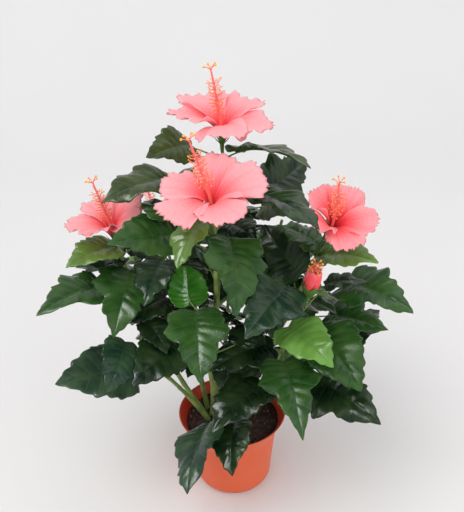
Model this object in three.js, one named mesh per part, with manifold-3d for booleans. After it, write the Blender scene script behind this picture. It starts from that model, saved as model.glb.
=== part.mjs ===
// Artificial hibiscus in a plain plastic pot. Millimetres, +Z up, +X to the right, -Y to the front.
// The origin is the middle of the pot's underside.
import * as THREE from "three";
import { mergeVertices } from "three/addons/utils/BufferGeometryUtils.js";
import Module from "manifold-3d";

const wasm = await Module();
wasm.setup();

// ---- driving dimensions -------------------------------------------------------------------------

const pot = {
  height: 97,
  rimRadius: 65,
  neckRadius: 53, // where the flared collar meets the tapering body
  neckHeight: 72,
  baseRadius: 46,
  cornerRadius: 9, // between the body and the flat underside
  wall: 1.8,
  floor: 2.5,
  segments: 30,
};

const fill = {
  top: 85, // height of its surface above the pot's underside
  fall: 1.5, // how much lower the surface lies at the pot's wall
};

const gap = 0.3; // between pieces that meet face to face

const stemSize = {
  foot: 5, // radius of the main stem at the fill
  flare: 1.6, // how much wider its very foot is
  flareHeight: 6,
  tip: 2.6,
  boughFoot: 3.1,
  boughTip: 2.5,
  twigTip: 1.7, // the stem of a mass of foliage, at its end
  stalk: 1.2, // radius of a leaf's stalk
  stalkTip: 0.7,
};

const leafSize = {
  thickness: 1.5, // at the midrib, fading out to the margin
  fold: 16, // degrees that each half rises from the midrib
  arch: 40, // degrees that the blade bends from base to tip, unless a leaf gives its own
  stalkSunk: 0.2, // share of the blade's length that its stalk runs under
};

const petalSize = {
  thickness: 1.6,
  foot: 6, // radius of the funnel at its foot
  rise: 24, // height of the funnel below the open part
  lift: 4, // how much further the funnel's curve aims up
  flat: 0.28, // share of the reach that opening fully adds
  cup: 0.62, // share of the reach by which a shut bloom's margin stands higher
  notch: 0.25, // how far the margin draws in between two petals
};

// The main stem and the shoots that leave it: foot, a point that bends the limb, and tip.
const mainStem = { foot: [-22, 7, 85], bend: [-18, 6, 240], tip: [-4, -1, 345] };

// Each shoot is one bough up to the share "bare" of its length, and from there the stem of a mass.
// A leaf leaves that stem at the share "at", on a stalk that points "out" and "rise" degrees up; its
// blade points to "heading" and "pitch". Headings run from +X towards +Y. "rule" adds more leaves.
const shoots = {
  top: {
    path: [[-4, -1, 345.5], [1, -5, 390], [-2, -14, 432]],
    bare: 0,
    leaves: [
      { at: 0.9, out: 135, rise: 5, stalk: 45, heading: 225, pitch: 5, length: 62, roll: 35 },
      { at: 0.9, out: 25, rise: 25, stalk: 15, heading: -30, pitch: 0, length: 85, roll: 18 },
      { at: 0.35, out: 5, rise: 10, stalk: 45, heading: 50, pitch: 10, length: 70, roll: -50, lobed: true },
      { at: 0.2, out: -10, rise: 10, stalk: 40, heading: -30, pitch: 10, length: 55, roll: -30 },
      { at: 0.6, out: 180, rise: 5, stalk: 50, heading: 215, pitch: 0, length: 85, roll: 5 },
      { at: 0.1, out: -85, rise: 15, stalk: 20, heading: -55, pitch: 0, length: 55, roll: -20 },
    ],
    rule: { count: 4, facing: 90, spread: 80, seed: 11 },
  },
  front: {
    path: [[-15, 3, 232], [-12, -50, 300], [-11, -91, 393]],
    bare: 0.35,
    leaves: [
      { at: 0.9, out: 45, rise: 25, stalk: 55, heading: -45, pitch: -10, length: 85, roll: 10 },
      { at: 0.85, out: -150, rise: 60, stalk: 25, heading: -120, pitch: -35, length: 55, roll: -15 },
      {
        at: 0.8, out: -20, rise: 15, stalk: 15, heading: -85, pitch: -35, length: 80, roll: 25,
        lobed: true,
      },
      { at: 0.65, out: 155, rise: 15, stalk: 35, heading: 210, pitch: 10, length: 80, roll: 25 },
      { at: 0.85, out: 155, rise: 10, stalk: 50, heading: 125, pitch: 5, length: 45 },
    ],
    rule: { count: 3, facing: 90, spread: 40, seed: 23 },
  },
  left: {
    path: [[-31, 9, 80], [-90, 5, 189], [-114, -20, 338]],
    bare: 0.5,
    leaves: [
      { at: 0.9, out: -115, rise: 60, stalk: 15, heading: 220, pitch: 0, length: 60, roll: 10 },
      { at: 0.55, out: 180, rise: 15, stalk: 35, heading: 225, pitch: 0, length: 85, roll: 5, lobed: true },
      {
        at: 0.7, out: -75, rise: 55, stalk: 15, heading: -100, pitch: -30, length: 80, roll: 20,
        lobed: true,
      },
      { at: 0.75, out: 5, rise: 15, stalk: 40, heading: -110, pitch: -25, length: 60 },
      { at: 0.8, out: 120, rise: 30, stalk: 15, heading: 215, pitch: 5, length: 60, roll: 15 },
      { at: 0.9, out: 30, rise: 15, stalk: 40, heading: 130, pitch: 20, length: 50 },
      { at: 0.5, out: -20, rise: 10, stalk: 35, heading: 220, pitch: -10, length: 55, roll: 20 },
      {
        at: 0.55, out: 85, rise: 60, stalk: 40, heading: 125, pitch: 25, length: 60, roll: -40,
        lobed: true,
      },
    ],
    rule: { count: 4, facing: 110, spread: 60, seed: 31 },
  },
  right: {
    path: [[-14, 10, 80], [48, 0, 170], [100, -18, 336]],
    bare: 0.5,
    leaves: [
      { at: 0.8, out: -45, rise: 60, stalk: 15, heading: -35, pitch: 10, length: 70, roll: -10 },
      { at: 0.6, out: 0, rise: 5, stalk: 50, heading: -45, pitch: 0, length: 85, roll: -15, lobed: true },
      { at: 0.75, out: -125, rise: 15, stalk: 20, heading: 125, pitch: 30, length: 70, roll: 60, arch: 25 },
      { at: 0.9, out: -95, rise: 50, stalk: 15, heading: 140, pitch: 10, length: 55 },
      {
        at: 0.3, out: -5, rise: 10, stalk: 50, heading: -35, pitch: 5, length: 70, roll: -15, arch: 20,
        lobed: true,
      },
    ],
    rule: { count: 4, facing: 70, spread: 60, seed: 43 },
  },
  bud: {
    path: [[-2, 10, 80], [45, -40, 170], [79, -64, 290]],
    bare: 0.35,
    leaves: [
      {
        at: 0.95, out: 170, rise: 50, stalk: 30, heading: -125, pitch: -15, length: 80, roll: 25,
        lobed: true,
      },
      { at: 0.8, out: -130, rise: 10, stalk: 15, heading: -55, pitch: -10, length: 70, roll: -15 },
      { at: 0.5, out: -90, rise: 10, stalk: 25, heading: -80, pitch: -25, length: 90, lobed: true },
      {
        at: 0.4, out: 140, rise: 45, stalk: 20, heading: -150, pitch: -5, length: 75, roll: 20,
        lobed: true,
      },
      { at: 0.3, out: 130, rise: 25, stalk: 20, heading: -120, pitch: -5, length: 45, roll: 30 },
      { at: 0.9, out: 50, rise: 15, stalk: 45, heading: -5, pitch: 5, length: 45 },
    ],
    rule: { count: 2, facing: 60, spread: 30, seed: 59 },
  },
  middle: {
    path: [[-20, 5, 130], [-25, -60, 190], [-25, -75, 290]],
    bare: 0.3,
    leaves: [
      {
        at: 1.0, out: -110, rise: 25, stalk: 25, heading: -85, pitch: -30, length: 75, roll: 5,
        lobed: true,
      },
      { at: 0.95, out: 140, rise: 10, stalk: 20, heading: 95, pitch: 40, length: 55, roll: 180, arch: 20 },
      { at: 0.45, out: 10, rise: 15, stalk: 35, heading: 55, pitch: 0, length: 50 },
    ],
    rule: { count: 2, facing: 90, spread: 60, seed: 67 },
  },
  low_front: {
    path: [[-17, -3, 80], [-5, -40, 120], [10, -62, 175]],
    bare: 0.3,
    leaves: [
      { at: 1.0, out: 15, rise: 15, stalk: 25, heading: -135, pitch: -15, length: 82 },
      { at: 0.45, out: -80, rise: 5, stalk: 25, heading: -95, pitch: -20, length: 65, roll: -25 },
      { at: 0.3, out: -130, rise: 10, stalk: 35, heading: -105, pitch: -20, length: 85, roll: -35 },
    ],
    rule: { count: 0, facing: 90, spread: 60, seed: 71 },
  },
  low_left: {
    path: [[-27, -1, 80], [-58, -18, 150], [-100, -40, 215]],
    bare: 0.3,
    leaves: [
      { at: 0.55, out: 175, rise: 5, stalk: 38, heading: 215, pitch: 15, length: 95, roll: 30 },
      { at: 1.0, out: -110, rise: 50, stalk: 40, heading: -105, pitch: -25, length: 60, roll: 40 },
      { at: 1.0, out: -5, rise: 20, stalk: 45, heading: -125, pitch: -10, length: 75, roll: 30 },
      { at: 1.0, out: -15, rise: 75, stalk: 45, heading: -50, pitch: -35, length: 45 },
    ],
    rule: { count: 2, facing: 120, spread: 40, seed: 83 },
  },
  low_right: {
    path: [[-6, -6, 80], [70, 0, 120], [106, -15, 226]],
    bare: 0.4,
    leaves: [
      { at: 1.0, out: -115, rise: 25, stalk: 30, heading: -65, pitch: -15, length: 90, roll: -20 },
      {
        at: 0.4, out: -50, rise: 15, stalk: 35, heading: -50, pitch: -5, length: 95, roll: -30,
        lobed: true,
      },
      { at: 0.85, out: 10, rise: 15, stalk: 15, heading: -50, pitch: 0, length: 50 },
      { at: 0.6, out: -175, rise: 40, stalk: 25, heading: 95, pitch: -70, length: 45, lobed: true },
      { at: 0.75, out: 5, rise: 5, stalk: 40, heading: 45, pitch: 10, length: 65, roll: 5, lobed: true },
    ],
    rule: { count: 3, facing: 60, spread: 50, seed: 97 },
  },
  inner_low: {
    path: [[-19, 9, 150], [0, 22, 165], [30, 22, 205]],
    bare: 0,
    leaves: [
      { at: 0.5, out: -100, rise: 25, stalk: 25, heading: -100, pitch: -50, length: 50 },
      { at: 1.0, out: -90, rise: -10, stalk: 20, heading: -95, pitch: -60, length: 55, lobed: true },
    ],
    rule: { count: 8, facing: -70, spread: 130, seed: 131 },
  },
  inner_left: {
    path: [[-20, 9, 195], [-38, 22, 215], [-52, 22, 255]],
    bare: 0,
    leaves: [
      { at: 1.0, out: -30, rise: 75, stalk: 40, heading: -100, pitch: -45, length: 65 },
      { at: 0.6, out: -95, rise: 15, stalk: 20, heading: -110, pitch: -50, length: 65 },
      {
        at: 0.4, out: 110, rise: 65, stalk: 20, heading: 70, pitch: -40, length: 75, roll: -40,
        lobed: true,
      },
    ],
    rule: { count: 8, facing: 200, spread: 120, seed: 137 },
  },
  inner_right: {
    path: [[-12, 6, 245], [8, 14, 255], [34, 10, 295]],
    bare: 0,
    leaves: [
      { at: 0.8, out: 175, rise: 65, stalk: 22, heading: -50, pitch: -45, length: 70, lobed: true },
      { at: 0.5, out: -30, rise: 0, stalk: 25, heading: -60, pitch: -45, length: 60 },
      { at: 0.3, out: 110, rise: 70, stalk: 55, heading: -100, pitch: -75, length: 70 },
    ],
    rule: { count: 8, facing: -30, spread: 120, seed: 149 },
  },
  back_top: {
    path: [[-9, 3, 300], [-12, 35, 315], [-15, 62, 355]],
    bare: 0,
    leaves: [],
    rule: { count: 10, facing: 90, spread: 90, seed: 163 },
  },
  back_left: {
    path: [[-30, 17, 80], [-50, 60, 190], [-75, 90, 278]],
    bare: 0.4,
    leaves: [],
    rule: { count: 13, facing: 130, spread: 150, seed: 101 },
  },
  back_right: {
    path: [[-13, 18, 80], [30, 70, 180], [65, 85, 310]],
    bare: 0.4,
    leaves: [],
    rule: { count: 13, facing: 50, spread: 150, seed: 113 },
  },
  back_low: {
    path: [[-22, 19, 80], [-5, 75, 125], [0, 100, 225]],
    bare: 0.4,
    leaves: [],
    rule: { count: 12, facing: 90, spread: 130, seed: 127 },
  },
};

// Leaves that the rule adds.
const ruleLeaf = {
  stalk: 30,
  rise: 25,
  pitch: -38,
  length: 72,
  vary: 0.2, // share by which those sizes differ
  swing: 20, // degrees between the headings of stalk and blade
  dip: 22, // degrees that the pitch varies
  clear: 5.5, // room kept to limbs, leaves and blooms
  roll: 20,
  attempts: 12,
  shift: 0.27, // share of the sector that each new attempt turns by
  ownRoot: 12, // a leaf may come near its own stem within this distance of its root
  abovePot: 5,
  besidePot: 6,
};

// Blooms stand on the tips of their shoots. "open" runs from 0, a cup, to 1, almost flat; the column
// in the middle leans its own way.
const blooms = {
  top: { on: "top", heading: 270, pitch: 86, open: 0.9, reach: 54, spin: 0, column: [190, 78] },
  front: { on: "front", heading: 260, pitch: 73, open: 0.85, reach: 56, spin: 20, column: [185, 72] },
  left: { on: "left", heading: 225, pitch: 78, open: 0.5, reach: 49, spin: 40, column: [190, 75], stalk: 3 },
  right: { on: "right", heading: -62, pitch: 56, open: 0.5, reach: 48, spin: 10, column: [-90, 78] },
  back: { on: "back_left", heading: 120, pitch: 62, open: 0.7, reach: 52, spin: 30, column: [120, 45] },
};

const bloomSize = {
  stalk: 10,
  stalkTip: 2.6, // radius of the stalk where it meets the calyx
  calyx: 14,
  calyxFoot: 2.4,
  calyxRadius: 8,
  column: 50,
  columnRadius: 2,
  columnTip: 1.3,
  stigma: 6,
};

const bud = { on: "bud", heading: -30, pitch: 78, stalk: 8, calyx: 16, length: 40, foot: 3, radius: 10 };

// ---- materials ----------------------------------------------------------------------------------

const finish = {
  pot: new THREE.MeshStandardMaterial({ color: 0xe9734a, roughness: 0.5, metalness: 0 }),
  fill: new THREE.MeshStandardMaterial({ color: 0x2e1a14, roughness: 0.95, metalness: 0 }),
  stem: new THREE.MeshStandardMaterial({ color: 0x7c9a4e, roughness: 0.6, metalness: 0 }),
  leaf: new THREE.MeshStandardMaterial({ color: 0x2c5f33, roughness: 0.4, metalness: 0 }),
  petal: new THREE.MeshStandardMaterial({ color: 0xf57c86, roughness: 0.7, metalness: 0 }),
};

// ---- helpers ------------------------------------------------------------------------------------

const radians = THREE.MathUtils.degToRad;

const vector = (point) => new THREE.Vector3(...point);

// Unit vector that points to a heading, a number of degrees above the horizontal.
function direction(heading, pitch) {
  const level = Math.cos(radians(pitch));
  const x = Math.cos(radians(heading)) * level;
  const y = Math.sin(radians(heading)) * level;
  return new THREE.Vector3(x, y, Math.sin(radians(pitch)));
}

// Unit vector square to an axis.
function across(axis) {
  const spread = [Math.abs(axis.x), Math.abs(axis.y), Math.abs(axis.z)];
  const least = spread.indexOf(Math.min(...spread));
  const aside = new THREE.Vector3().setComponent(least, 1);
  return new THREE.Vector3().crossVectors(axis, aside).normalize();
}

function solidOf(geometry) {
  geometry.deleteAttribute("normal");
  geometry.deleteAttribute("uv");
  const merged = mergeVertices(geometry, 1e-4);
  const vertProperties = new Float32Array(merged.getAttribute("position").array);
  const triVerts = new Uint32Array(merged.index.array);
  return new wasm.Manifold(new wasm.Mesh({ numProp: 3, vertProperties, triVerts }));
}

function meshOf(name, solid, material) {
  const made = solid.getMesh();
  const geometry = new THREE.BufferGeometry();
  const positions = new Float32Array(made.numVert * 3);
  for (let i = 0; i < made.numVert; i++) {
    positions.set(made.vertProperties.subarray(i * made.numProp, i * made.numProp + 3), i * 3);
  }
  geometry.setAttribute("position", new THREE.BufferAttribute(positions, 3));
  geometry.setIndex(new THREE.BufferAttribute(new Uint32Array(made.triVerts), 1));
  geometry.computeVertexNormals();
  const mesh = new THREE.Mesh(geometry, material);
  mesh.name = name;
  return mesh;
}

// A tapering limb: a cylinder whose rings are moved onto a curve between the shares from and to.
function limb(curve, from, to, radius, { sides = 6, rings = 5 } = {}) {
  const geometry = new THREE.CylinderGeometry(1, 1, 1, sides, rings);
  const place = geometry.getAttribute("position");
  const chord = curve.getPoint(to).sub(curve.getPoint(from)).normalize();
  const side = across(chord);
  const point = new THREE.Vector3();
  for (let i = 0; i < place.count; i++) {
    point.fromBufferAttribute(place, i);
    const share = point.y + 0.5;
    const along = from + (to - from) * share;
    const axis = curve.getTangent(along);
    const right = side.clone().addScaledVector(axis, -side.dot(axis)).normalize();
    const ahead = new THREE.Vector3().crossVectors(right, axis);
    const wide = radius(share);
    const moved = curve.getPoint(along);
    moved.addScaledVector(right, point.x * wide);
    moved.addScaledVector(ahead, point.z * wide);
    place.setXYZ(i, moved.x, moved.y, moved.z);
  }
  return solidOf(geometry);
}

const taper = (foot, tip) => (share) => foot + (tip - foot) * share;

const curveOf = (path) => new THREE.QuadraticBezierCurve3(...path.map(vector));

// A thin closed solid over a grid of points: thick inside the grid and sharp at its margin.
function sheet(grid, thickness) {
  const rows = grid.length - 1;
  const columns = grid[0].length - 1;
  const points = [];
  const known = new Map();
  const add = (point) => {
    const key = [point.x, point.y, point.z].map((value) => value.toFixed(3)).join();
    if (!known.has(key)) {
      known.set(key, points.length);
      points.push(point);
    }
    return known.get(key);
  };
  const normal = (i, j) => {
    const down = grid[i + 1][j].clone().sub(grid[i - 1][j]);
    const over = grid[i][j + 1].clone().sub(grid[i][j - 1]);
    return over.cross(down).normalize();
  };
  const index = grid.map((row, i) =>
    row.map((point, j) => {
      if (i === 0 || j === 0 || i === rows || j === columns) {
        const edge = add(point);
        return [edge, edge];
      }
      const half = normal(i, j).multiplyScalar(thickness / 2);
      return [add(point.clone().add(half)), add(point.clone().sub(half))];
    }),
  );
  const faces = [];
  const face = (a, b, c) => {
    for (const [side, corners] of [[0, [a, b, c]], [1, [a, c, b]]]) {
      const used = corners.map(([i, j]) => index[i][j][side]);
      if (new Set(used).size === 3) faces.push(...used);
    }
  };
  for (let i = 0; i < rows; i++) {
    for (let j = 0; j < columns; j++) {
      const [a, b] = [[i, j], [i, j + 1]];
      const [c, d] = [[i + 1, j + 1], [i + 1, j]];
      if (i < rows / 2 === j < columns / 2) {
        face(a, b, c);
        face(a, c, d);
      } else {
        face(a, b, d);
        face(b, c, d);
      }
    }
  }
  const geometry = new THREE.BufferGeometry().setFromPoints(points);
  geometry.setIndex(faces);
  return solidOf(geometry);
}

// Random numbers that come out the same wherever the rule is written.
function dice(seed) {
  let state = seed;
  return () => {
    state = (state * 16807) % 2147483647;
    return state / 2147483647;
  };
}

// ---- leaves -------------------------------------------------------------------------------------

// Half a leaf's margin from base to tip, as shares of its length: across and along, in ten steps.
const margins = {
  lobed: [
    [0, 0], [0.14, -0.04], [0.28, -0.01], [0.36, 0.1], [0.36, 0.24], [0.41, 0.39],
    [0.25, 0.5], [0.24, 0.62], [0.16, 0.76], [0.065, 0.9], [0, 1],
  ],
  plain: [
    [0, 0], [0.13, -0.035], [0.26, 0.01], [0.34, 0.12], [0.365, 0.25], [0.355, 0.38],
    [0.315, 0.51], [0.25, 0.64], [0.165, 0.77], [0.075, 0.9], [0, 1],
  ],
};

function marginAt(kind, share) {
  const step = Math.min(9, Math.floor(share * 10));
  const past = share * 10 - step;
  const [from, to] = [margins[kind][step], margins[kind][step + 1]];
  return [from[0] + (to[0] - from[0]) * past, from[1] + (to[1] - from[1]) * past];
}

// The point of a blade at a share of its length and, from -1 to 1, across it.
function bladePoint(leaf, share, side) {
  const [wide, ahead] = marginAt(leaf.lobed ? "lobed" : "plain", share);
  const rib = share * share;
  const x = side * wide;
  const y = rib + (ahead - rib) * Math.abs(side);
  const z = Math.abs(x) * Math.tan(radians(leafSize.fold)) * (1 - 0.45 * Math.abs(side));
  const arch = radians(leaf.arch);
  const lean = arch * (0.5 - y);
  const along = (Math.sin(arch / 2) - Math.sin(lean)) / arch - z * Math.sin(lean);
  const up = (Math.cos(lean) - Math.cos(arch / 2)) / arch + z * Math.cos(lean);
  const point = leaf.base.clone();
  point.addScaledVector(leaf.right, x * leaf.length);
  point.addScaledVector(leaf.ahead, along * leaf.length);
  point.addScaledVector(leaf.normal, up * leaf.length);
  return point;
}

function placeLeaf(curve, bare, entry) {
  const leaf = { roll: 0, lobed: false, arch: leafSize.arch, ...entry };
  leaf.root = curve.getPoint(bare + (1 - bare) * leaf.at);
  leaf.base = leaf.root.clone().addScaledVector(direction(leaf.out, leaf.rise), leaf.stalk);
  leaf.ahead = direction(leaf.heading, leaf.pitch);
  const heading = radians(leaf.heading);
  const level = new THREE.Vector3(Math.sin(heading), -Math.cos(heading), 0);
  const upright = new THREE.Vector3().crossVectors(level, leaf.ahead);
  const turn = radians(leaf.roll);
  leaf.right = level.clone().multiplyScalar(Math.cos(turn)).addScaledVector(upright, Math.sin(turn));
  leaf.normal = upright.multiplyScalar(Math.cos(turn)).addScaledVector(level, -Math.sin(turn));
  return leaf;
}

const bladeRows = { lobed: [0, 0.1, 0.25, 0.5, 0.6, 0.7, 0.85, 1], plain: [0, 0.1, 0.3, 0.5, 0.7, 0.85, 1] };

function leafSolids(leaf) {
  const rows = bladeRows[leaf.lobed ? "lobed" : "plain"];
  const grid = rows.map((share) => [-1, 0, 1].map((side) => bladePoint(leaf, share, side)));
  const under = bladePoint(leaf, Math.sqrt(leafSize.stalkSunk), 0);
  under.addScaledVector(leaf.normal, -leafSize.thickness / 4);
  const stalk = new THREE.QuadraticBezierCurve3(leaf.root, leaf.base, under);
  return [
    sheet(grid, leafSize.thickness),
    limb(stalk, 0, 1, taper(stemSize.stalk, stemSize.stalkTip), { sides: 3, rings: 2 }),
  ];
}

// Points spread over a leaf and along its stalk, for testing what is near it.
function leafSamples(leaf) {
  const samples = [];
  for (let row = 1; row <= 11; row++) {
    for (let side = -1; side <= 1; side += 0.25) samples.push(bladePoint(leaf, row / 11, side));
  }
  for (let step = 1; step <= 10; step++) samples.push(leaf.root.clone().lerp(leaf.base, step / 10));
  return samples;
}

// ---- blooms -------------------------------------------------------------------------------------

// The point of the corolla at a share "out" of the way from its foot to its margin, and at an angle
// counted in petals.
function corollaPoint(bloom, out, petal) {
  const phase = Math.abs(2 * (petal - Math.floor(petal)) - 1);
  const share = out * (1 - petalSize.notch * out * out * phase ** 6);
  const rest = 1 - share;
  const [near, far, end] = [3 * rest ** 2 * share, 3 * rest * share ** 2, share ** 3];
  const wide = bloom.reach * (1 - petalSize.flat * (1 - bloom.open));
  const high = petalSize.rise + bloom.reach * petalSize.cup * (1 - bloom.open);
  const radius = near * petalSize.foot + far * wide * 0.45 + end * wide;
  const height = (near + far) * (petalSize.rise + petalSize.lift) + end * high;
  const angle = radians(bloom.spin + 72 * petal);
  return bloom.foot
    .clone()
    .addScaledVector(bloom.axis, height)
    .addScaledVector(bloom.first, radius * Math.cos(angle))
    .addScaledVector(bloom.second, radius * Math.sin(angle));
}

const corollaRings = [0.3, 0.6, 0.85];
const corollaSteps = 20;

// Five petals joined into one lobed funnel, closed at its foot and sharp at its margin.
function corolla(bloom) {
  const half = petalSize.thickness / 2;
  const points = [bloom.foot.clone(), bloom.foot.clone().addScaledVector(bloom.axis, 2 * half)];
  const rings = [];
  for (const out of corollaRings) {
    for (const face of [-1, 1]) {
      const ring = [];
      for (let step = 0; step < corollaSteps; step++) {
        const petal = (5 * step) / corollaSteps;
        const point = corollaPoint(bloom, out, petal);
        const outward = corollaPoint(bloom, out + 0.05, petal).sub(point);
        const round = corollaPoint(bloom, out, petal + 0.05).sub(point);
        const normal = outward.cross(round).normalize();
        ring.push(points.push(point.addScaledVector(normal, face * half)) - 1);
      }
      rings.push(ring);
    }
  }
  const margin = [];
  for (let step = 0; step < corollaSteps; step++) {
    margin.push(points.push(corollaPoint(bloom, 1, (5 * step) / corollaSteps)) - 1);
  }
  const faces = [];
  for (const face of [0, 1]) {
    const own = [rings[face], rings[2 + face], rings[4 + face], margin];
    const add = (a, b, c) => faces.push(...(face ? [a, b, c] : [a, c, b]));
    for (let step = 0; step < corollaSteps; step++) {
      const next = (step + 1) % corollaSteps;
      add(face, own[0][step], own[0][next]);
      for (let ring = 0; ring < 3; ring++) {
        add(own[ring][step], own[ring + 1][step], own[ring + 1][next]);
        add(own[ring][step], own[ring + 1][next], own[ring][next]);
      }
    }
  }
  const geometry = new THREE.BufferGeometry().setFromPoints(points);
  geometry.setIndex(faces);
  return solidOf(geometry);
}

function placeBloom(entry, tip) {
  const bloom = { ...entry };
  bloom.axis = direction(bloom.heading, bloom.pitch);
  bloom.first = across(bloom.axis);
  bloom.second = new THREE.Vector3().crossVectors(bloom.axis, bloom.first);
  bloom.stalk ??= bloomSize.stalk;
  bloom.foot = tip.clone().addScaledVector(bloom.axis, bloom.stalk);
  return bloom;
}

function bloomSolid(bloom, curve) {
  const { foot, axis } = bloom;
  const at = (height) => foot.clone().addScaledVector(axis, height);
  const tip = curve.getPoint(1);
  const ahead = curve.getTangent(1);
  const start = tip.clone().addScaledVector(ahead, gap);
  const bent = tip.clone().addScaledVector(ahead, bloom.stalk / 2);
  const stalk = new THREE.QuadraticBezierCurve3(start, bent, at(3));
  const calyx = new THREE.LineCurve3(at(0), at(bloomSize.calyx));
  const throat = at(petalSize.rise);
  const lean = direction(...bloom.column);
  const end = throat.clone().addScaledVector(lean, bloomSize.column);
  const column = new THREE.QuadraticBezierCurve3(at(bloomSize.calyx - 4), throat, end);
  const pieces = [
    corolla(bloom),
    limb(stalk, 0, 1, taper(stemSize.twigTip, bloomSize.stalkTip), { rings: 2 }),
    limb(calyx, 0, 1, taper(bloomSize.calyxFoot, bloomSize.calyxRadius), { rings: 1 }),
    limb(column, 0, 1, taper(bloomSize.columnRadius, bloomSize.columnTip), { sides: 5, rings: 2 }),
  ];
  const side = across(lean);
  const other = new THREE.Vector3().crossVectors(lean, side);
  for (let arm = 0; arm < 5; arm++) {
    const angle = radians(72 * arm);
    const spread = lean.clone().multiplyScalar(0.7);
    spread.addScaledVector(side, Math.cos(angle)).addScaledVector(other, Math.sin(angle));
    const from = end.clone().addScaledVector(lean, -2);
    const to = end.clone().addScaledVector(spread.normalize(), bloomSize.stigma);
    const reach = new THREE.LineCurve3(from, to);
    pieces.push(limb(reach, 0, 1, taper(0.8, bloomSize.columnTip), { sides: 3, rings: 1 }));
  }
  return wasm.Manifold.union(pieces);
}

// A half-open bud: wrapped petals that swell and close again, on a flared calyx.
function budSolid(curve) {
  const axis = direction(bud.heading, bud.pitch);
  const tip = curve.getPoint(1);
  const ahead = curve.getTangent(1);
  const at = (height) => tip.clone().addScaledVector(axis, height);
  const start = tip.clone().addScaledVector(ahead, gap);
  const bent = tip.clone().addScaledVector(ahead, bud.stalk / 2);
  const stalk = new THREE.QuadraticBezierCurve3(start, bent, at(bud.stalk + 4));
  const calyx = new THREE.LineCurve3(at(bud.stalk), at(bud.stalk + bud.calyx));
  const petals = new THREE.LineCurve3(at(bud.stalk), at(bud.stalk + bud.length));
  const swell = (share) => bud.foot + (bud.radius - bud.foot) * Math.sin(Math.PI * share * 0.85) ** 0.8;
  return wasm.Manifold.union([
    limb(stalk, 0, 1, taper(stemSize.twigTip, bud.foot), { rings: 2 }),
    limb(calyx, 0, 1, taper(bud.foot, bud.radius * 0.8), { rings: 1 }),
    limb(petals, 0, 1, swell, { sides: 8, rings: 5 }),
  ]);
}

// ---- pot and fill -------------------------------------------------------------------------------

// Outer profile of the pot from the edge of its flat underside up to the rim.
function potSide(inset) {
  const corner = pot.cornerRadius;
  const line = [];
  for (const turn of [-90, -60, -30, 0]) {
    const x = pot.baseRadius - corner + corner * Math.cos(radians(turn));
    const y = corner + corner * Math.sin(radians(turn));
    line.push(new THREE.Vector2(x - inset * (turn > -90), Math.max(y, inset ? pot.floor : 0)));
  }
  line.push(new THREE.Vector2(pot.neckRadius - inset, pot.neckHeight));
  for (const share of [0.35, 0.7, 0.97]) {
    const out = pot.neckRadius + (pot.rimRadius - pot.neckRadius) * share ** 1.2;
    line.push(new THREE.Vector2(out - inset, pot.neckHeight + (pot.height - pot.neckHeight) * share));
  }
  return line;
}

function potSolid() {
  const outside = potSide(0);
  const inside = potSide(pot.wall).reverse();
  const rim = new THREE.Vector2(pot.rimRadius - pot.wall / 2, pot.height);
  const middle = new THREE.Vector2(0, 0);
  const floor = new THREE.Vector2(0, pot.floor);
  const profile = [middle, ...outside, rim, ...inside, floor];
  return solidOf(new THREE.LatheGeometry(profile, pot.segments).rotateX(Math.PI / 2));
}

function fillSolid() {
  const side = potSide(pot.wall + gap).filter((point) => point.y < fill.top - fill.fall);
  side.forEach((point) => point.setY(Math.max(point.y, pot.floor + gap)));
  const neck = side[side.length - 1];
  const wallTop = fill.top - fill.fall;
  const outward = ((pot.rimRadius - pot.neckRadius) / (pot.height - pot.neckHeight)) * (wallTop - neck.y);
  const profile = [
    new THREE.Vector2(0, pot.floor + gap),
    ...side,
    new THREE.Vector2(neck.x + outward, wallTop),
    new THREE.Vector2(neck.x + outward - 8, fill.top),
    new THREE.Vector2(0, fill.top),
  ];
  return solidOf(new THREE.LatheGeometry(profile, pot.segments).rotateX(Math.PI / 2));
}

// ---- the plant ----------------------------------------------------------------------------------

const group = new THREE.Group();
group.add(meshOf("pot", potSolid(), finish.pot));
group.add(meshOf("potting_fill", fillSolid(), finish.fill));

const trunkFoot = [mainStem.foot[0], mainStem.foot[1], fill.top + gap];
const trunkCurve = curveOf([trunkFoot, mainStem.bend, mainStem.tip]);
const flareShare = stemSize.flareHeight / trunkCurve.getLength();
const flared = taper(stemSize.foot + stemSize.flare, stemSize.foot);
const trunk = wasm.Manifold.union([
  limb(trunkCurve, 0, flareShare, flared, { sides: 8, rings: 1 }),
  limb(trunkCurve, 0, 1, taper(stemSize.foot, stemSize.tip), { sides: 8, rings: 10 }),
]);
const room = gap + 0.2; // a little more, because the flat sides of a limb lie inside its radius
const trunkRoom = limb(trunkCurve, 0, 1, taper(stemSize.foot + room, stemSize.tip + room), {
  sides: 8,
  rings: 10,
});
group.add(meshOf("main_stem", trunk, finish.stem));

// Limbs and blooms are placed first, so that the rule's leaves can keep clear of them.
const taken = [];
const take = (points, limb) => points.forEach((point) => taken.push({ point, limb }));
take(trunkCurve.getPoints(80), trunkCurve);
const plants = Object.entries(shoots).map(([name, shoot]) => {
  const curve = curveOf(shoot.path);
  take(curve.getPoints(80), curve);
  const leaves = shoot.leaves.map((entry) => placeLeaf(curve, shoot.bare, entry));
  leaves.forEach((leaf) => take(leafSamples(leaf)));
  return { name, shoot, curve, leaves };
});
const placedBlooms = Object.entries(blooms).map(([name, entry]) => {
  const curve = curveOf(shoots[entry.on].path);
  const bloom = placeBloom(entry, curve.getPoint(1));
  for (const out of [0.3, 0.5, 0.7, 0.85, 1]) {
    for (let step = 0; step < 25; step++) take([corollaPoint(bloom, out, step / 5)]);
  }
  return { name, bloom, curve };
});

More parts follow.
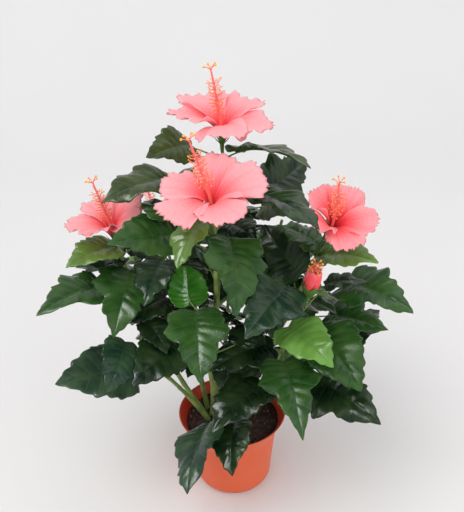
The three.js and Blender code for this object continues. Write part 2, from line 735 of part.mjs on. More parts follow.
// Adds the rule's leaves to a shoot: headings step round by the golden ratio inside a sector. A leaf
// that would touch what is already there, or hang into the pot, is tried again and then left out.
function addByRule({ shoot, curve, leaves }) {
  const golden = (Math.sqrt(5) - 1) / 2;
  const { count, facing, spread, seed } = shoot.rule;
  const random = dice(seed);
  const vary = (size) => size * (1 + ruleLeaf.vary * (2 * random() - 1));
  for (let i = 0; i < count; i++) {
    for (let attempt = 0; attempt < ruleLeaf.attempts; attempt++) {
      const place = ((i + 1) * golden + attempt * ruleLeaf.shift) % 1;
      const out = facing + spread * (2 * place - 1);
      const leaf = placeLeaf(curve, shoot.bare, {
        at: (0.95 * (i + 0.3 + 0.7 * random())) / count,
        out,
        rise: vary(ruleLeaf.rise),
        stalk: vary(ruleLeaf.stalk),
        heading: out + ruleLeaf.swing * (2 * random() - 1),
        pitch: ruleLeaf.pitch + ruleLeaf.dip * (2 * random() - 1),
        length: vary(ruleLeaf.length),
        roll: ruleLeaf.roll * (2 * random() - 1),
        lobed: random() < 0.5,
      });
      const samples = leafSamples(leaf);
      const touches = (point) =>
        taken.some((other) => {
          const fromRoot = other.point.distanceTo(leaf.root);
          if (other.limb === curve && fromRoot < ruleLeaf.ownRoot) return false;
          return other.point.distanceTo(point) < ruleLeaf.clear;
        });
      const inPot = ({ x, y, z }) =>
        z < pot.height + ruleLeaf.abovePot && Math.hypot(x, y) < pot.rimRadius + ruleLeaf.besidePot;
      if (samples.some((point) => inPot(point) || touches(point))) continue;
      leaves.push(leaf);
      take(samples);
      break;
    }
  }
}

// Boughs leave the main stem or the fill, and a mass without a bough leaves the main stem itself.
const ground = wasm.Manifold.cylinder(fill.top + gap, pot.rimRadius, pot.rimRadius, 24);
for (const plant of plants) {
  addByRule(plant);
  const { name, shoot, curve, leaves } = plant;
  const step = gap / curve.getLength();
  const { boughFoot, boughTip, twigTip } = stemSize;
  if (shoot.bare) {
    const whole = limb(curve, 0, shoot.bare - step, taper(boughFoot, boughTip), { rings: 4 });
    const bough = whole.subtract(trunkRoom).subtract(ground);
    group.add(meshOf("bough_" + name, bough, finish.stem));
  }
  const stem = limb(curve, shoot.bare, 1 - step, taper(boughTip, twigTip), { sides: 5, rings: 4 });
  const clear = shoot.bare ? stem : stem.subtract(trunkRoom);
  const mass = wasm.Manifold.union([clear, ...leaves.flatMap(leafSolids)]);
  group.add(meshOf("foliage_" + name, mass, finish.leaf));
}

for (const { name, bloom, curve } of placedBlooms) {
  group.add(meshOf("bloom_" + name, bloomSolid(bloom, curve), finish.petal));
}
group.add(meshOf("bud_right", budSolid(curveOf(shoots[bud.on].path)), finish.petal));

export default group;
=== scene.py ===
import math

import bpy
import numpy as np
from mathutils import Matrix, Vector, noise


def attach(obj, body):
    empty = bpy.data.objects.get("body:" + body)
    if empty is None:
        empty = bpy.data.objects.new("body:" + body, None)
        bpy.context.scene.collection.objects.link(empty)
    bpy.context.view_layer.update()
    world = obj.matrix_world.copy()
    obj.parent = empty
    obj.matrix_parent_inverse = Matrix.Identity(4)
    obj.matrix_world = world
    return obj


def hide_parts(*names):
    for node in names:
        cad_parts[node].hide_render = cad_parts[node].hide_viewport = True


# Artificial hibiscus with five open blooms and a bud, in a plain plastic pot. The dictionaries
# hold millimetres and degrees, as the part's own do, and each mesh is made at a thousandth.

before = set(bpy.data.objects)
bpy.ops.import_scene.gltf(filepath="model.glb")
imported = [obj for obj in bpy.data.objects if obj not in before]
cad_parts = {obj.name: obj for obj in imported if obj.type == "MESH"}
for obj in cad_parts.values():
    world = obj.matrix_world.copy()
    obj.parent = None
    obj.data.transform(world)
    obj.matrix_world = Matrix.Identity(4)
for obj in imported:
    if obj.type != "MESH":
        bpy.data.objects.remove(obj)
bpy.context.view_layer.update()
bpy.ops.object.select_all(action="DESELECT")
print("frame loaded")


def radians(degrees):
    return degrees * math.pi / 180


# Unit vector that points to a heading, a number of degrees above the horizontal.
def direction(heading, pitch):
    heading, pitch = radians(heading), radians(pitch)
    level = math.cos(pitch)
    return np.array([math.cos(heading) * level, math.sin(heading) * level, math.sin(pitch)])


def unit(vectors):
    return vectors / np.maximum(np.linalg.norm(vectors, axis=-1, keepdims=True), 1e-9)


# A unit vector square to an axis.
def across(axis):
    aside = np.zeros(3)
    aside[int(np.argmin(np.abs(axis)))] = 1
    return unit(np.cross(axis, aside))


# Two unit vectors square to an axis and to each other.
def frameOf(axis):
    first = across(axis)
    return first, np.cross(axis, first)


# The direction at an angle round an axis that the two vectors are square to.
def sideways(first, second, angle):
    return first * np.cos(angle)[..., None] + second * np.sin(angle)[..., None]


def sineOf(turns):
    return np.sin(2 * math.pi * turns)


# A bell of height 1 round a place on a line.
def bell(steps, place, width):
    return np.exp(-(((steps - place) / width) ** 2))


# Angles that go once round.
def roundTurn(steps):
    return np.arange(steps) * 2 * math.pi / steps


# Points at shares of the way along a path of three points, which bends towards its middle one.
def pathPoint(path, share):
    foot, bend, tip = (np.array(point, float) for point in path)
    share = np.asarray(share, float)[..., None]
    rest = 1 - share
    return rest**2 * foot + 2 * rest * share * bend + share**2 * tip


def pathAhead(path, share):
    foot, bend, tip = (np.array(point, float) for point in path)
    share = np.asarray(share, float)[..., None]
    return unit((1 - share) * (bend - foot) + share * (tip - bend))


# Random numbers that come out the same wherever the rule is written.
def dice(seed):
    state = seed

    def roll():
        nonlocal state
        state = (state * 16807) % 2147483647
        return state / 2147483647

    return roll


def between(random, low, high):
    return low + (high - low) * random()


# Between -1 and 1.
def eitherWay(random):
    return 2 * random() - 1


# Points, faces and slots of the shapes that make up one joined mesh. "places" are the points'
# places on the piece's own map, across and along each blade, petal or tube.
class Heap:
    def __init__(self):
        self.points = []
        self.places = []
        self.faces = []
        self.slots = []
        self.count = 0

    def add(self, points, faces, slots, places=None):
        points = np.asarray(points, float).reshape(-1, 3)
        if places is None:
            places = np.zeros((len(points), 2))
        self.points.append(points)
        self.places.append(np.asarray(places, float).reshape(-1, 2))
        self.faces.extend(tuple(int(corner) + self.count for corner in face) for face in faces)
        self.slots.extend([slots] * len(faces) if isinstance(slots, int) else list(slots))
        self.count += len(points)


# Makes the gathered shapes one object that stands for the named CAD nodes.
def makePiece(name, heap, materials, nodes, angle=180):
    mesh = bpy.data.meshes.new(name)
    mesh.from_pydata(np.concatenate(heap.points) * 0.001, [], heap.faces)
    for material in materials:
        mesh.materials.append(material)
    mesh.polygons.foreach_set("material_index", heap.slots)
    corners = np.empty(len(mesh.loops), np.int32)
    mesh.loops.foreach_get("vertex_index", corners)
    layer = mesh.uv_layers.new(name="shape")
    layer.uv.foreach_set("vector", np.concatenate(heap.places)[corners].ravel())
    mesh.update()
    made = bpy.data.objects.new(name, mesh)
    bpy.context.scene.collection.objects.link(made)
    bpy.ops.object.select_all(action="DESELECT")
    made.select_set(True)
    bpy.context.view_layer.objects.active = made
    bpy.ops.object.mode_set(mode="EDIT")
    bpy.ops.mesh.select_all(action="SELECT")
    bpy.ops.mesh.remove_doubles(threshold=1e-6)
    bpy.ops.mesh.normals_make_consistent(inside=False)
    bpy.ops.object.mode_set(mode="OBJECT")
    finishPiece(made, nodes, angle)


def finishPiece(made, nodes, angle):
    bpy.ops.object.shade_smooth_by_angle(angle=radians(angle))
    made.select_set(False)
    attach(made, "root")
    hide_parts(*nodes)
    print(made.name, len(made.data.polygons), "faces")


# Faces between the rows of a grid of points. "index" gives the number of each point.
def gridFaces(index):
    a, b = index[:-1, :-1], index[:-1, 1:]
    c, d = index[1:, 1:], index[1:, :-1]
    return np.stack([a, b, c, d], axis=-1).reshape(-1, 4)


# Faces of a closed skin over rings of points, which the points of its two ends follow.
def skinFaces(rings, sides):
    index = np.arange(rings * sides).reshape(rings, sides)
    faces = [tuple(face) for face in gridFaces(np.hstack([index, index[:, :1]]))]
    for step in range(sides):
        after = (step + 1) % sides
        faces.append((rings * sides, index[0, after], index[0, step]))
        faces.append((rings * sides + 1, index[-1, step], index[-1, after]))
    return faces


# A closed tube round a line of centres, whose radii may differ round each ring.
def addTube(heap, centres, radii, sides, slot=0):
    centres = np.asarray(centres, float)
    rings = len(centres)
    ahead = unit(np.gradient(centres, axis=0))
    side = across(unit(centres[-1] - centres[0]))
    first = unit(side - ahead * (ahead @ side)[:, None])
    second = np.cross(ahead, first)
    turn = roundTurn(sides)
    radii = np.asarray(radii, float)
    if radii.ndim < 2:
        radii = radii.reshape(-1, 1) * np.ones((rings, sides))
    ring = first[:, None] * np.cos(turn)[None, :, None] + second[:, None] * np.sin(turn)[None, :, None]
    points = centres[:, None] + ring * radii[..., None]
    points = np.concatenate([points.reshape(-1, 3), centres[:1], centres[-1:]])
    along = np.repeat(np.linspace(0, 1, rings), sides)
    around = np.tile(np.linspace(0, 1, sides), rings)
    places = np.concatenate([np.stack([around, along], axis=-1), [[0, 0], [0, 1]]])
    heap.add(points, skinFaces(rings, sides), slot, places)


# A thin closed sheet over a grid of points, sharp at its margin. "above" and "below" are how far
# its faces lie from the grid, and the slots are those of its upper and its lower faces. "side" is
# a point's place across the sheet, from -1 to 1, and "along" its place along it.
def addSheet(heap, grid, above, below, slotsAbove, slotsBelow, side, along):
    rows, columns = grid.shape[:2]
    above, below = (np.full((rows, columns), offset) for offset in (above, below))
    slots = [np.full((rows - 1, columns - 1), slot).ravel() for slot in (slotsAbove, slotsBelow)]
    places = np.stack([side / 2 + 0.5, along], axis=-1)
    normal = unit(np.cross(np.gradient(grid, axis=1), np.gradient(grid, axis=0)))
    inner = np.zeros((rows, columns), bool)
    inner[1:-1, 1:-1] = True
    top = np.where(inner[..., None], grid + normal * above[..., None], grid)
    under = (grid - normal * below[..., None])[inner]
    upper = np.arange(rows * columns).reshape(rows, columns)
    lower = upper.copy()
    lower[inner] = rows * columns + np.arange(len(under))
    points = np.concatenate([top.reshape(-1, 3), under])
    allPlaces = np.concatenate([places.reshape(-1, 2), places[inner]])
    faces = np.concatenate([gridFaces(upper), gridFaces(lower)[:, ::-1]])
    heap.add(points, faces, np.concatenate(slots).tolist(), allPlaces)


# A shader socket on which sums can be written.
class Wire:
    def __init__(self, tree, socket):
        self.tree = tree
        self.socket = socket

    def work(self, operation, first, second):
        node = self.tree.nodes.new("ShaderNodeMath")
        node.operation = operation
        for place, value in enumerate((first, second)):
            if isinstance(value, Wire):
                self.tree.links.new(value.socket, node.inputs[place])
            else:
                node.inputs[place].default_value = value
        return Wire(self.tree, node.outputs[0])

    def __add__(self, other):
        return self.work("ADD", self, other)

    __radd__ = __add__

    def __mul__(self, other):
        return self.work("MULTIPLY", self, other)

    __rmul__ = __mul__

    def __sub__(self, other):
        return self.work("SUBTRACT", self, other)

    def __rsub__(self, other):
        return self.work("SUBTRACT", other, self)


# The nodes of one material.
class Finish:
    def __init__(self, name):
        self.material = bpy.data.materials.new(name)
        self.material.use_nodes = True
        self.tree = self.material.node_tree
        self.tree.nodes.clear()

    # Adds a node: its type, its settings, then values or links of its sockets by name or number.
    def node(self, kind, settings=None, sockets=None):
        node = self.tree.nodes.new(kind)
        for key, value in (settings or {}).items():
            setattr(node, key, value)
        for key, value in (sockets or {}).items():
            if isinstance(value, Wire):
                self.tree.links.new(value.socket, node.inputs[key])
            else:
                node.inputs[key].default_value = value
        return node

    def wire(self, node, output=0):
        return Wire(self.tree, node.outputs[output])

    def place(self):
        return self.wire(self.node("ShaderNodeTexCoord"), "Object")

    def noise(self, scale, detail):
        sockets = {"Scale": scale, "Detail": detail, "Vector": self.place()}
        return self.wire(self.node("ShaderNodeTexNoise", {}, sockets))

    # How far a point is from the edges of a pattern of cells.
    def cells(self, scale):
        sockets = {"Scale": scale, "Vector": self.place()}
        return self.wire(self.node("ShaderNodeTexVoronoi", {"feature": "DISTANCE_TO_EDGE"}, sockets))

    # Spreads the values between low and high over 0 to 1.
    def spread(self, value, low, high):
        sockets = {"Value": value, "From Min": low, "From Max": high}
        return self.wire(self.node("ShaderNodeMapRange", {"interpolation_type": "SMOOTHSTEP"}, sockets))

    def mix(self, share, first, second):
        sockets = {0: share, 6: first, 7: second}
        return self.wire(self.node("ShaderNodeMix", {"data_type": "RGBA"}, sockets), 2)

    def bump(self, height, strength, distance):
        sockets = {"Height": height, "Strength": strength, "Distance": distance}
        return self.wire(self.node("ShaderNodeBump", {}, sockets))

    def shade(self, **values):
        sockets = {key.replace("_", " "): value for key, value in values.items()}
        shader = self.node("ShaderNodeBsdfPrincipled", {}, sockets)
        self.node("ShaderNodeOutputMaterial", {}, {"Surface": self.wire(shader)})
        return self.material


# A colour given as a screen shows it, from 0 to 255.
def tint(red, green, blue):
    shares = [value / 255 for value in (red, green, blue)]
    linear = [share / 12.92 if share <= 0.04045 else ((share + 0.055) / 1.055) ** 2.4 for share in shares]
    return (*linear, 1)


def blendTint(first, second, share):
    return tuple(a + (b - a) * share for a, b in zip(first, second))


# The plant's plan, as in the part's source.
mainStem = {
    "path": [[-22, 7, 85.3], [-18, 6, 240], [-4, -1, 345]],
    "foot": 5,
    "tip": 2.6,
    "flare": 1.6,
    "flareHeight": 6,
    "seed": 3,
}

stemSize = {
    "boughFoot": 3.1,
    "boughTip": 2.5,
    "twigTip": 1.7,
    "swell": 0.45, # where a leaf leaves a stem
    "sprig": (1.3, 0.7), # a sprig's twig at its foot and its tip
    "bloom": (1.6, 2.5), # and a bloom's stalk
    "bud": (1.6, 2.8), # and the bud's
    "stalk": 1.2,
    "underBlade": 0.7, # how far below its blade a stalk runs
}

potRoom = {"height": 102, "radius": 71} # where no leaf of the rule goes

leafDefault = {"roll": 0, "kind": "plain", "tone": "dark", "arch": 40, "slim": 0}


# A leaf leaves its stem at the share "at", on a stalk that points "out" and "rise" degrees up, and
# its blade points to "heading" and "pitch". "slim" draws a blade in by a share of its length.
def leafAt(at, out, rise, stalk, heading, pitch, length, **more):
    leaf = {"at": at, "out": out, "rise": rise, "stalk": stalk}
    return {**leaf, "heading": heading, "pitch": pitch, "length": length, **more}


# Each shoot is a bare bough up to the share "bare" of its path and from there the stem of a mass.
# "rule" adds leaves, whose tones come in turn.
shoots = {
    "top": {
        "path": [[-4, -1, 345.5], [1, -5, 390], [-2, -14, 432]],
        "bare": 0,
        "leaves": [
            leafAt(0.9, 135, 5, 45, 225, 5, 62, roll=35, tone="brown"),
            leafAt(0.9, 25, 25, 15, -30, 0, 85, roll=18, tone="brown"),
            leafAt(0.35, 5, 10, 45, 50, 10, 70, roll=-50, kind="lobed"),
            leafAt(0.2, -10, 10, 40, -30, 10, 55, roll=-30, tone="brown"),
            leafAt(0.6, 180, 5, 50, 215, 0, 85, roll=5, tone="brown"),
            leafAt(0.1, -85, 15, 20, -55, 0, 55, roll=-20),
        ],
        "rule": dict(count=4, facing=90, spread=80, seed=11),
        "tones": ["brown", "dark", "mid"],
        "sprigCount": 0,
    },
    "front": {
        "path": [[-15, 3, 232], [-12, -50, 300], [-11, -91, 393]],
        "bare": 0.35,
        "leaves": [
            leafAt(0.9, 45, 25, 55, -45, -10, 85, roll=10),
            leafAt(0.85, -150, 60, 25, -120, -35, 55, roll=-15, tone="yellow"),
            leafAt(0.8, -20, 15, 15, -85, -35, 80, roll=25, kind="lobed", tone="mid"),
            leafAt(0.65, 155, 15, 35, 210, 10, 80, roll=25, tone="mid"),
            leafAt(0.85, 155, 10, 50, 125, 5, 45, tone="mid"),
        ],
        "rule": dict(count=3, facing=90, spread=40, seed=23),
        "tones": ["dark", "mid"],
        "sprigCount": 6,
    },
    "left": {
        "path": [[-31, 9, 80], [-90, 5, 189], [-114, -20, 338]],
        "bare": 0.5,
        "leaves": [
            leafAt(0.9, -115, 60, 15, 220, 0, 60, roll=10, tone="yellow"),
            leafAt(0.55, 180, 15, 35, 225, 0, 85, roll=5, kind="lobed", tone="mid"),
            leafAt(0.7, -75, 55, 15, -100, -30, 80, roll=20, kind="lobed", tone="mid"),
            leafAt(0.75, 5, 15, 40, -110, -25, 60, tone="blue"),
            leafAt(0.8, 120, 30, 15, 215, 5, 60, roll=15),
            leafAt(0.9, 30, 15, 40, 130, 20, 50),
            leafAt(0.5, -20, 10, 35, 220, -10, 55, roll=20),
            leafAt(0.55, 85, 60, 40, 125, 25, 60, roll=-40, kind="lobed", tone="blue"),
        ],
        "rule": dict(count=4, facing=110, spread=60, seed=31),
        "tones": ["mid", "dark"],
        "sprigCount": 2,
    },
    "right": {
        "path": [[-14, 10, 80], [48, 0, 170], [100, -18, 336]],
        "bare": 0.5,
        "leaves": [
            leafAt(0.8, -45, 60, 15, -35, 10, 70, roll=-10, tone="yellow"),
            leafAt(0.6, 0, 5, 50, -45, 0, 85, roll=-15, kind="lobed", tone="mid"),
            leafAt(0.75, -125, 15, 20, 125, 30, 70, roll=60, arch=25),
            leafAt(0.9, -95, 50, 15, 140, 10, 55, tone="mid"),
            leafAt(0.3, -5, 10, 50, -35, 5, 70, roll=-15, kind="lobed", tone="mid", arch=20),
        ],
        "rule": dict(count=4, facing=70, spread=60, seed=43),
        "tones": ["mid", "dark", "yellow"],
        "sprigCount": 8,
    },
    "bud": {
        "path": [[-2, 10, 80], [45, -40, 170], [79, -64, 290]],
        "bare": 0.35,
        "leaves": [
            leafAt(0.95, 170, 50, 30, -125, -15, 80, roll=25, kind="lobed", tone="blue"),
            leafAt(0.8, -130, 10, 15, -55, -10, 70, roll=-15, tone="lime"),
            leafAt(0.5, -90, 10, 25, -80, -25, 90, kind="lobed", tone="mid", slim=0.05),
            leafAt(0.4, 140, 45, 20, -150, -5, 75, roll=20, kind="lobed"),
            leafAt(0.3, 130, 25, 20, -120, -5, 45, roll=30),
            leafAt(0.9, 50, 15, 45, -5, 5, 45),
        ],
        "rule": dict(count=2, facing=60, spread=30, seed=59),
        "tones": ["dark"],
        "sprigCount": 7,
    },
    "middle": {
        "path": [[-20, 5, 130], [-25, -60, 190], [-25, -75, 290]],
        "bare": 0.3,
        "leaves": [
            leafAt(1, -110, 25, 25, -85, -30, 75, roll=5, kind="lobed", tone="mid"),
            leafAt(0.95, 140, 10, 20, 95, 40, 55, roll=180, tone="bright", arch=20),
            leafAt(0.45, 10, 15, 35, 55, 0, 50),
        ],
        "rule": dict(count=2, facing=90, spread=60, seed=67),
        "tones": ["dark"],
        "sprigCount": 5,
    },
    "low_front": {
        "path": [[-17, -3, 80], [-5, -40, 120], [10, -62, 175]],
        "bare": 0.3,
        "leaves": [
            leafAt(1, 15, 15, 25, -135, -15, 82),
            leafAt(0.45, -80, 5, 25, -95, -20, 65, roll=-25),
            leafAt(0.3, -130, 10, 35, -105, -20, 85, roll=-35, tone="blue"),
        ],
        "rule": dict(count=0, facing=90, spread=60, seed=71),
        "tones": ["dark"],
        "sprigCount": 2,
    },
    "low_left": {
        "path": [[-27, -1, 80], [-58, -18, 150], [-100, -40, 215]],
        "bare": 0.3,
        "leaves": [
            # This big leaf's grey-green tone is lightened as a painted sheen for its glossy highlights.
            leafAt(0.55, 175, 5, 38, 215, 15, 95, roll=30, tone="grey"),
            leafAt(1, -110, 50, 40, -105, -25, 60, roll=40, tone="blue"),
            leafAt(1, -5, 20, 45, -125, -10, 75, roll=30),
            leafAt(1, -15, 75, 45, -50, -35, 45),
        ],
        "rule": dict(count=2, facing=120, spread=40, seed=83),
        "tones": ["dark", "blue"],
        "sprigCount": 0,
    },
    "low_right": {
        "path": [[-6, -6, 80], [70, 0, 120], [106, -15, 226]],
        "bare": 0.4,
        "leaves": [
            leafAt(1, -115, 25, 30, -65, -15, 90, roll=-20, tone="mid"),
            leafAt(0.4, -50, 15, 35, -50, -5, 95, roll=-30, kind="lobed"),
            leafAt(0.85, 10, 15, 15, -50, 0, 50),
            leafAt(0.6, -175, 40, 25, 95, -70, 45, kind="lobed"),
            leafAt(0.75, 5, 5, 40, 45, 10, 65, roll=5, kind="lobed"),
        ],
        "rule": dict(count=3, facing=60, spread=50, seed=97),
        "tones": ["dark", "mid"],
        "sprigCount": 6,
    },
    "inner_low": {
        "path": [[-19, 9, 150], [0, 22, 165], [30, 22, 205]],
        "bare": 0,
        "leaves": [
            leafAt(0.5, -100, 25, 25, -100, -50, 50),
            leafAt(1, -90, -10, 20, -95, -60, 55, kind="lobed"),
        ],
        "rule": dict(count=8, facing=-70, spread=130, seed=131),
        "tones": ["dark"],
        "sprigCount": 3,
    },
    "inner_left": {
        "path": [[-20, 9, 195], [-38, 22, 215], [-52, 22, 255]],
        "bare": 0,
        "leaves": [
            leafAt(1, -30, 75, 40, -100, -45, 65),
            leafAt(0.6, -95, 15, 20, -110, -50, 65),
            leafAt(0.4, 110, 65, 20, 70, -40, 75, roll=-40, kind="lobed"),
        ],
        "rule": dict(count=8, facing=200, spread=120, seed=137),
        "tones": ["dark"],
        "sprigCount": 0,
    },
    "inner_right": {
        "path": [[-12, 6, 245], [8, 14, 255], [34, 10, 295]],
        "bare": 0,
        "leaves": [
            leafAt(0.8, 175, 65, 22, -50, -45, 70, kind="lobed"),
            leafAt(0.5, -30, 0, 25, -60, -45, 60),
            leafAt(0.3, 110, 70, 55, -100, -75, 70),
        ],
        "rule": dict(count=8, facing=-30, spread=120, seed=149),
        "tones": ["dark", "blue"],
        "sprigCount": 9,
    },
    "back_top": {
        "path": [[-9, 3, 300], [-12, 35, 315], [-15, 62, 355]],
        "bare": 0,
        "leaves": [],
        "rule": dict(count=10, facing=90, spread=90, seed=163),
        "tones": ["mid", "dark"],
        "sprigCount": 4,
    },
    "back_left": {
        "path": [[-30, 17, 80], [-50, 60, 190], [-75, 90, 278]],
        "bare": 0.4,
        "leaves": [],
        "rule": dict(count=13, facing=130, spread=150, seed=101),
        "tones": ["mid", "dark", "yellow", "blue"],
        "sprigCount": 3,
    },
    "back_right": {
        "path": [[-13, 18, 80], [30, 70, 180], [65, 85, 310]],
        "bare": 0.4,
        "leaves": [],
        "rule": dict(count=13, facing=50, spread=150, seed=113),
        "tones": ["dark", "mid", "blue", "bright"],
        "sprigCount": 10,
    },
    "back_low": {
        "path": [[-22, 19, 80], [-5, 75, 125], [0, 100, 225]],
        "bare": 0.4,
        "leaves": [],
        "rule": dict(count=12, facing=90, spread=130, seed=127),
        "tones": ["dark", "mid", "blue"],
        "sprigCount": 5,
    },
}

# Leaves that the rule adds, which keep "clear" of all that is there before them.
ruleLeaf = {
    "stalk": 30,
    "rise": 25,
    "pitch": -38,
    "length": 72,
    "vary": 0.2, # of the stalk, its rise and the length
    "swing": 20, # of the heading
    "dip": 22, # of the pitch
    "roll": 20,
    "clear": 5.5,
    "first": 0.3, # how far along its own share of the stem a leaf stands at least
    "last": 0.95, # share of the stem above which none stands
    "lobed": 0.5, # share of the leaves that are lobed
    "attempts": 12,
    "shift": 0.27, # of the sector, from one attempt to the next
    "ownRoot": 12, # within this reach of its root a leaf may touch its own stem
}

# Sprigs of young leaves that stand between a mass's leaves.
sprigRule = {
    "leaves": 3,
    "reach": 30,
    "length": 29,
    "stalk": 9,
    "clear": 3.6,
    "bend": 45, # rise of a twig's first half
    "rise": (25, 45), # and of its tip and its leaves' stalks
    "pitch": (10, -40),
    "roll": 30,
    "fan": 75, # degrees between a twig's leaves
    "gap": 0.18, # and share of the twig between them
    "attempts": 6,
    "ends": 0.1, # share of the stem without twigs at either end
    "seed": 52361,
    "seedStep": 977,
}

golden = (math.sqrt(5) - 1) / 2

# Each bloom stands on the tip of a shoot. Its axis points to "heading" and "pitch", and its column's
# outer part to "column". "open" is 1 for a flat corolla, "reach" is how far its petals reach,
# "lifts" raise each petal's margin and "ends" is a share of the column's usual length.
blooms = {
    "top": {
        "on": "top", "heading": 270, "pitch": 86, "open": 0.9, "reach": 54, "spin": 0,
        "column": (190, 80), "ends": 0.93, "lifts": (11, 11, 0, -3, 7),
    },
    "front": {
        "on": "front", "heading": 260, "pitch": 73, "open": 0.85, "reach": 56, "spin": 20,
        "column": (185, 72), "ends": 1, "lifts": (-6, -2, 6, 11, 3),
    },
    "left": {
        "on": "left", "heading": 225, "pitch": 78, "open": 0.5, "reach": 49, "spin": 40,
        "column": (190, 75), "ends": 0.87, "lifts": (2, 1, 2, -5, -6), "stalk": 3,
    },
    "right": {
        # The right bloom gets painted shade: its petals' darker bands reach further out, as if it stood in
        # shade.
        "on": "right", "heading": -62, "pitch": 56, "open": 0.5, "reach": 48, "spin": 10,
        "column": (-90, 78), "ends": 0.87, "lifts": (6, 5, -2, 4, 4), "paintedShade": 0.14,
    },
    "back": {
        "on": "back_left", "heading": 120, "pitch": 62, "open": 0.7, "reach": 52, "spin": 30,
        "column": (120, 45), "ends": 0.95, "lifts": (2, -2, 3, 0, -2),
    },
}

# A corolla's outline as in the part: its tube's foot and rise, and how a closed one differs.
petalSize = {"foot": 6, "rise": 24, "lift": 4, "waist": 0.45, "flat": 0.28, "cup": 0.62, "notch": 0.25}

# Half a leaf's margin from base to tip, as shares of its length: across and along, in ten steps.
margins = {
    "lobed": [
        (0, 0), (0.14, -0.04), (0.28, -0.01), (0.36, 0.1), (0.36, 0.24), (0.41, 0.39),
        (0.25, 0.5), (0.24, 0.62), (0.16, 0.76), (0.065, 0.9), (0, 1),
    ],
    "plain": [
        (0, 0), (0.13, -0.035), (0.26, 0.01), (0.34, 0.12), (0.365, 0.25), (0.355, 0.38),
        (0.315, 0.51), (0.25, 0.64), (0.165, 0.77), (0.075, 0.9), (0, 1),
    ],
}

fold = math.tan(radians(16))


# The margin at shares of the length, straight between its points or on a curve through them.
def marginAt(kind, share, curved):
    points = np.array(margins[kind], float)
    step = np.minimum(9, np.floor(share * 10)).astype(int)
    past = (share * 10 - step)[..., None]
    start, end = points[step], points[step + 1]
    if not curved:
        place = start + (end - start) * past
    else:
        slopeStart = (end - points[np.maximum(step - 1, 0)]) / 2
        slopeEnd = (points[np.minimum(step + 2, 10)] - start) / 2
        place = (
            (2 * past**3 - 3 * past**2 + 1) * start
            + (past**3 - 2 * past**2 + past) * slopeStart
            + (3 * past**2 - 2 * past**3) * end
            + (past**3 - past**2) * slopeEnd
        )
    return place[..., 0], place[..., 1]


# Points of a blade at shares of its length and, from -1 to 1, across it. "outward" moves the
# margin out and "lift" raises points off the blade, both as shares of the length.
def bladePoints(leaf, share, side, curved=False, outward=0, lift=0):
    wide, ahead = marginAt(leaf["kind"], share, curved)
    wide, ahead = wide + outward, ahead + outward * 0.6
    rib = share**2
    x = side * wide
    y = rib + (ahead - rib) * np.abs(side)
    z = np.abs(x) * fold * (1 - 0.45 * np.abs(side)) + lift
    arch = radians(leaf["arch"])
    lean = arch * (0.5 - y)
    along = (np.sin(arch / 2) - np.sin(lean)) / arch - z * np.sin(lean)
    up = (np.cos(lean) - np.cos(arch / 2)) / arch + z * np.cos(lean)
    moved = x[..., None] * leaf["right"] + along[..., None] * leaf["ahead"] + up[..., None] * leaf["normal"]
    return leaf["base"] + moved * leaf["length"]


def placeLeaf(path, bare, entry):
    leaf = {**leafDefault, **entry}
    leaf["root"] = pathPoint(path, bare + (1 - bare) * leaf["at"])
    leaf["base"] = leaf["root"] + direction(leaf["out"], leaf["rise"]) * leaf["stalk"]
    leaf["ahead"] = direction(leaf["heading"], leaf["pitch"])
    heading, turn = radians(leaf["heading"]), radians(leaf["roll"])
    level = np.array([math.sin(heading), -math.cos(heading), 0]) # to the blade's right
    upright = np.cross(level, leaf["ahead"])
    leaf["right"] = level * math.cos(turn) + upright * math.sin(turn)
    leaf["normal"] = upright * math.cos(turn) - level * math.sin(turn)
    return leaf


# Points spread over a leaf and along its stalk, for testing what is near it.
sampleShares = np.repeat(np.arange(1, 12) / 11, 9)
sampleSides = np.tile(np.arange(-4, 5) / 4, 11)


def leafSamples(leaf):
    blade = bladePoints(leaf, sampleShares, sampleSides)
    steps = (np.arange(1, 11) / 10)[:, None]
    return np.concatenate([blade, leaf["root"] + (leaf["base"] - leaf["root"]) * steps])


# Points of a bloom's corolla at shares of the way out from its foot and angles counted in petals.
def corollaPoints(bloom, share, petal):
    rest = 1 - share
    low, middle, outer = 3 * rest**2 * share, 3 * rest * share**2, share**3
    closed = 1 - bloom["open"]
    wide = bloom["reach"] * (1 - petalSize["flat"] * closed)
    high = petalSize["rise"] + bloom["reach"] * petalSize["cup"] * closed
    radius = low * petalSize["foot"] + middle * wide * petalSize["waist"] + outer * wide
    height = (low + middle) * (petalSize["rise"] + petalSize["lift"]) + outer * high
    aside = sideways(bloom["first"], bloom["second"], radians(bloom["spin"] + 72 * petal))
    return bloom["foot"] + height[..., None] * bloom["axis"] + radius[..., None] * aside


def placeBloom(entry, tip):
    # A bloom has no painted shade unless its entry gives some.
    bloom = {"stalk": 10, "paintedShade": 0, **entry}
    bloom["axis"] = direction(bloom["heading"], bloom["pitch"])
    bloom["first"], bloom["second"] = frameOf(bloom["axis"])
    bloom["foot"] = tip + bloom["axis"] * bloom["stalk"]
    return bloom


# Points already taken, each with the number of the limb it belongs to, or -1.
taken = []


def take(points, limb=-1):
    taken.append(np.hstack([points, np.full((len(points), 1), limb)]))


def takePath(path, limb, steps=80):
    take(pathPoint(path, np.arange(steps + 1) / steps), limb)


# Whether points keep clear of the pot and, but for the root on its own limb, of all points taken.
def isFree(samples, root, limb, clear):
    reach = np.hypot(samples[:, 0], samples[:, 1])
    if ((samples[:, 2] < potRoom["height"]) & (reach < potRoom["radius"])).any():
        return False
    others = np.concatenate(taken)
    places = others[:, :3]
    near = ((places > samples.min(0) - clear) & (places < samples.max(0) + clear)).all(1)
    own = (others[:, 3] == limb) & (np.linalg.norm(places - root, axis=1) < ruleLeaf["ownRoot"])
    places = places[near & ~own]
    apart = np.linalg.norm(places[:, None] - samples[None], axis=2)
    return not (apart < clear).any()


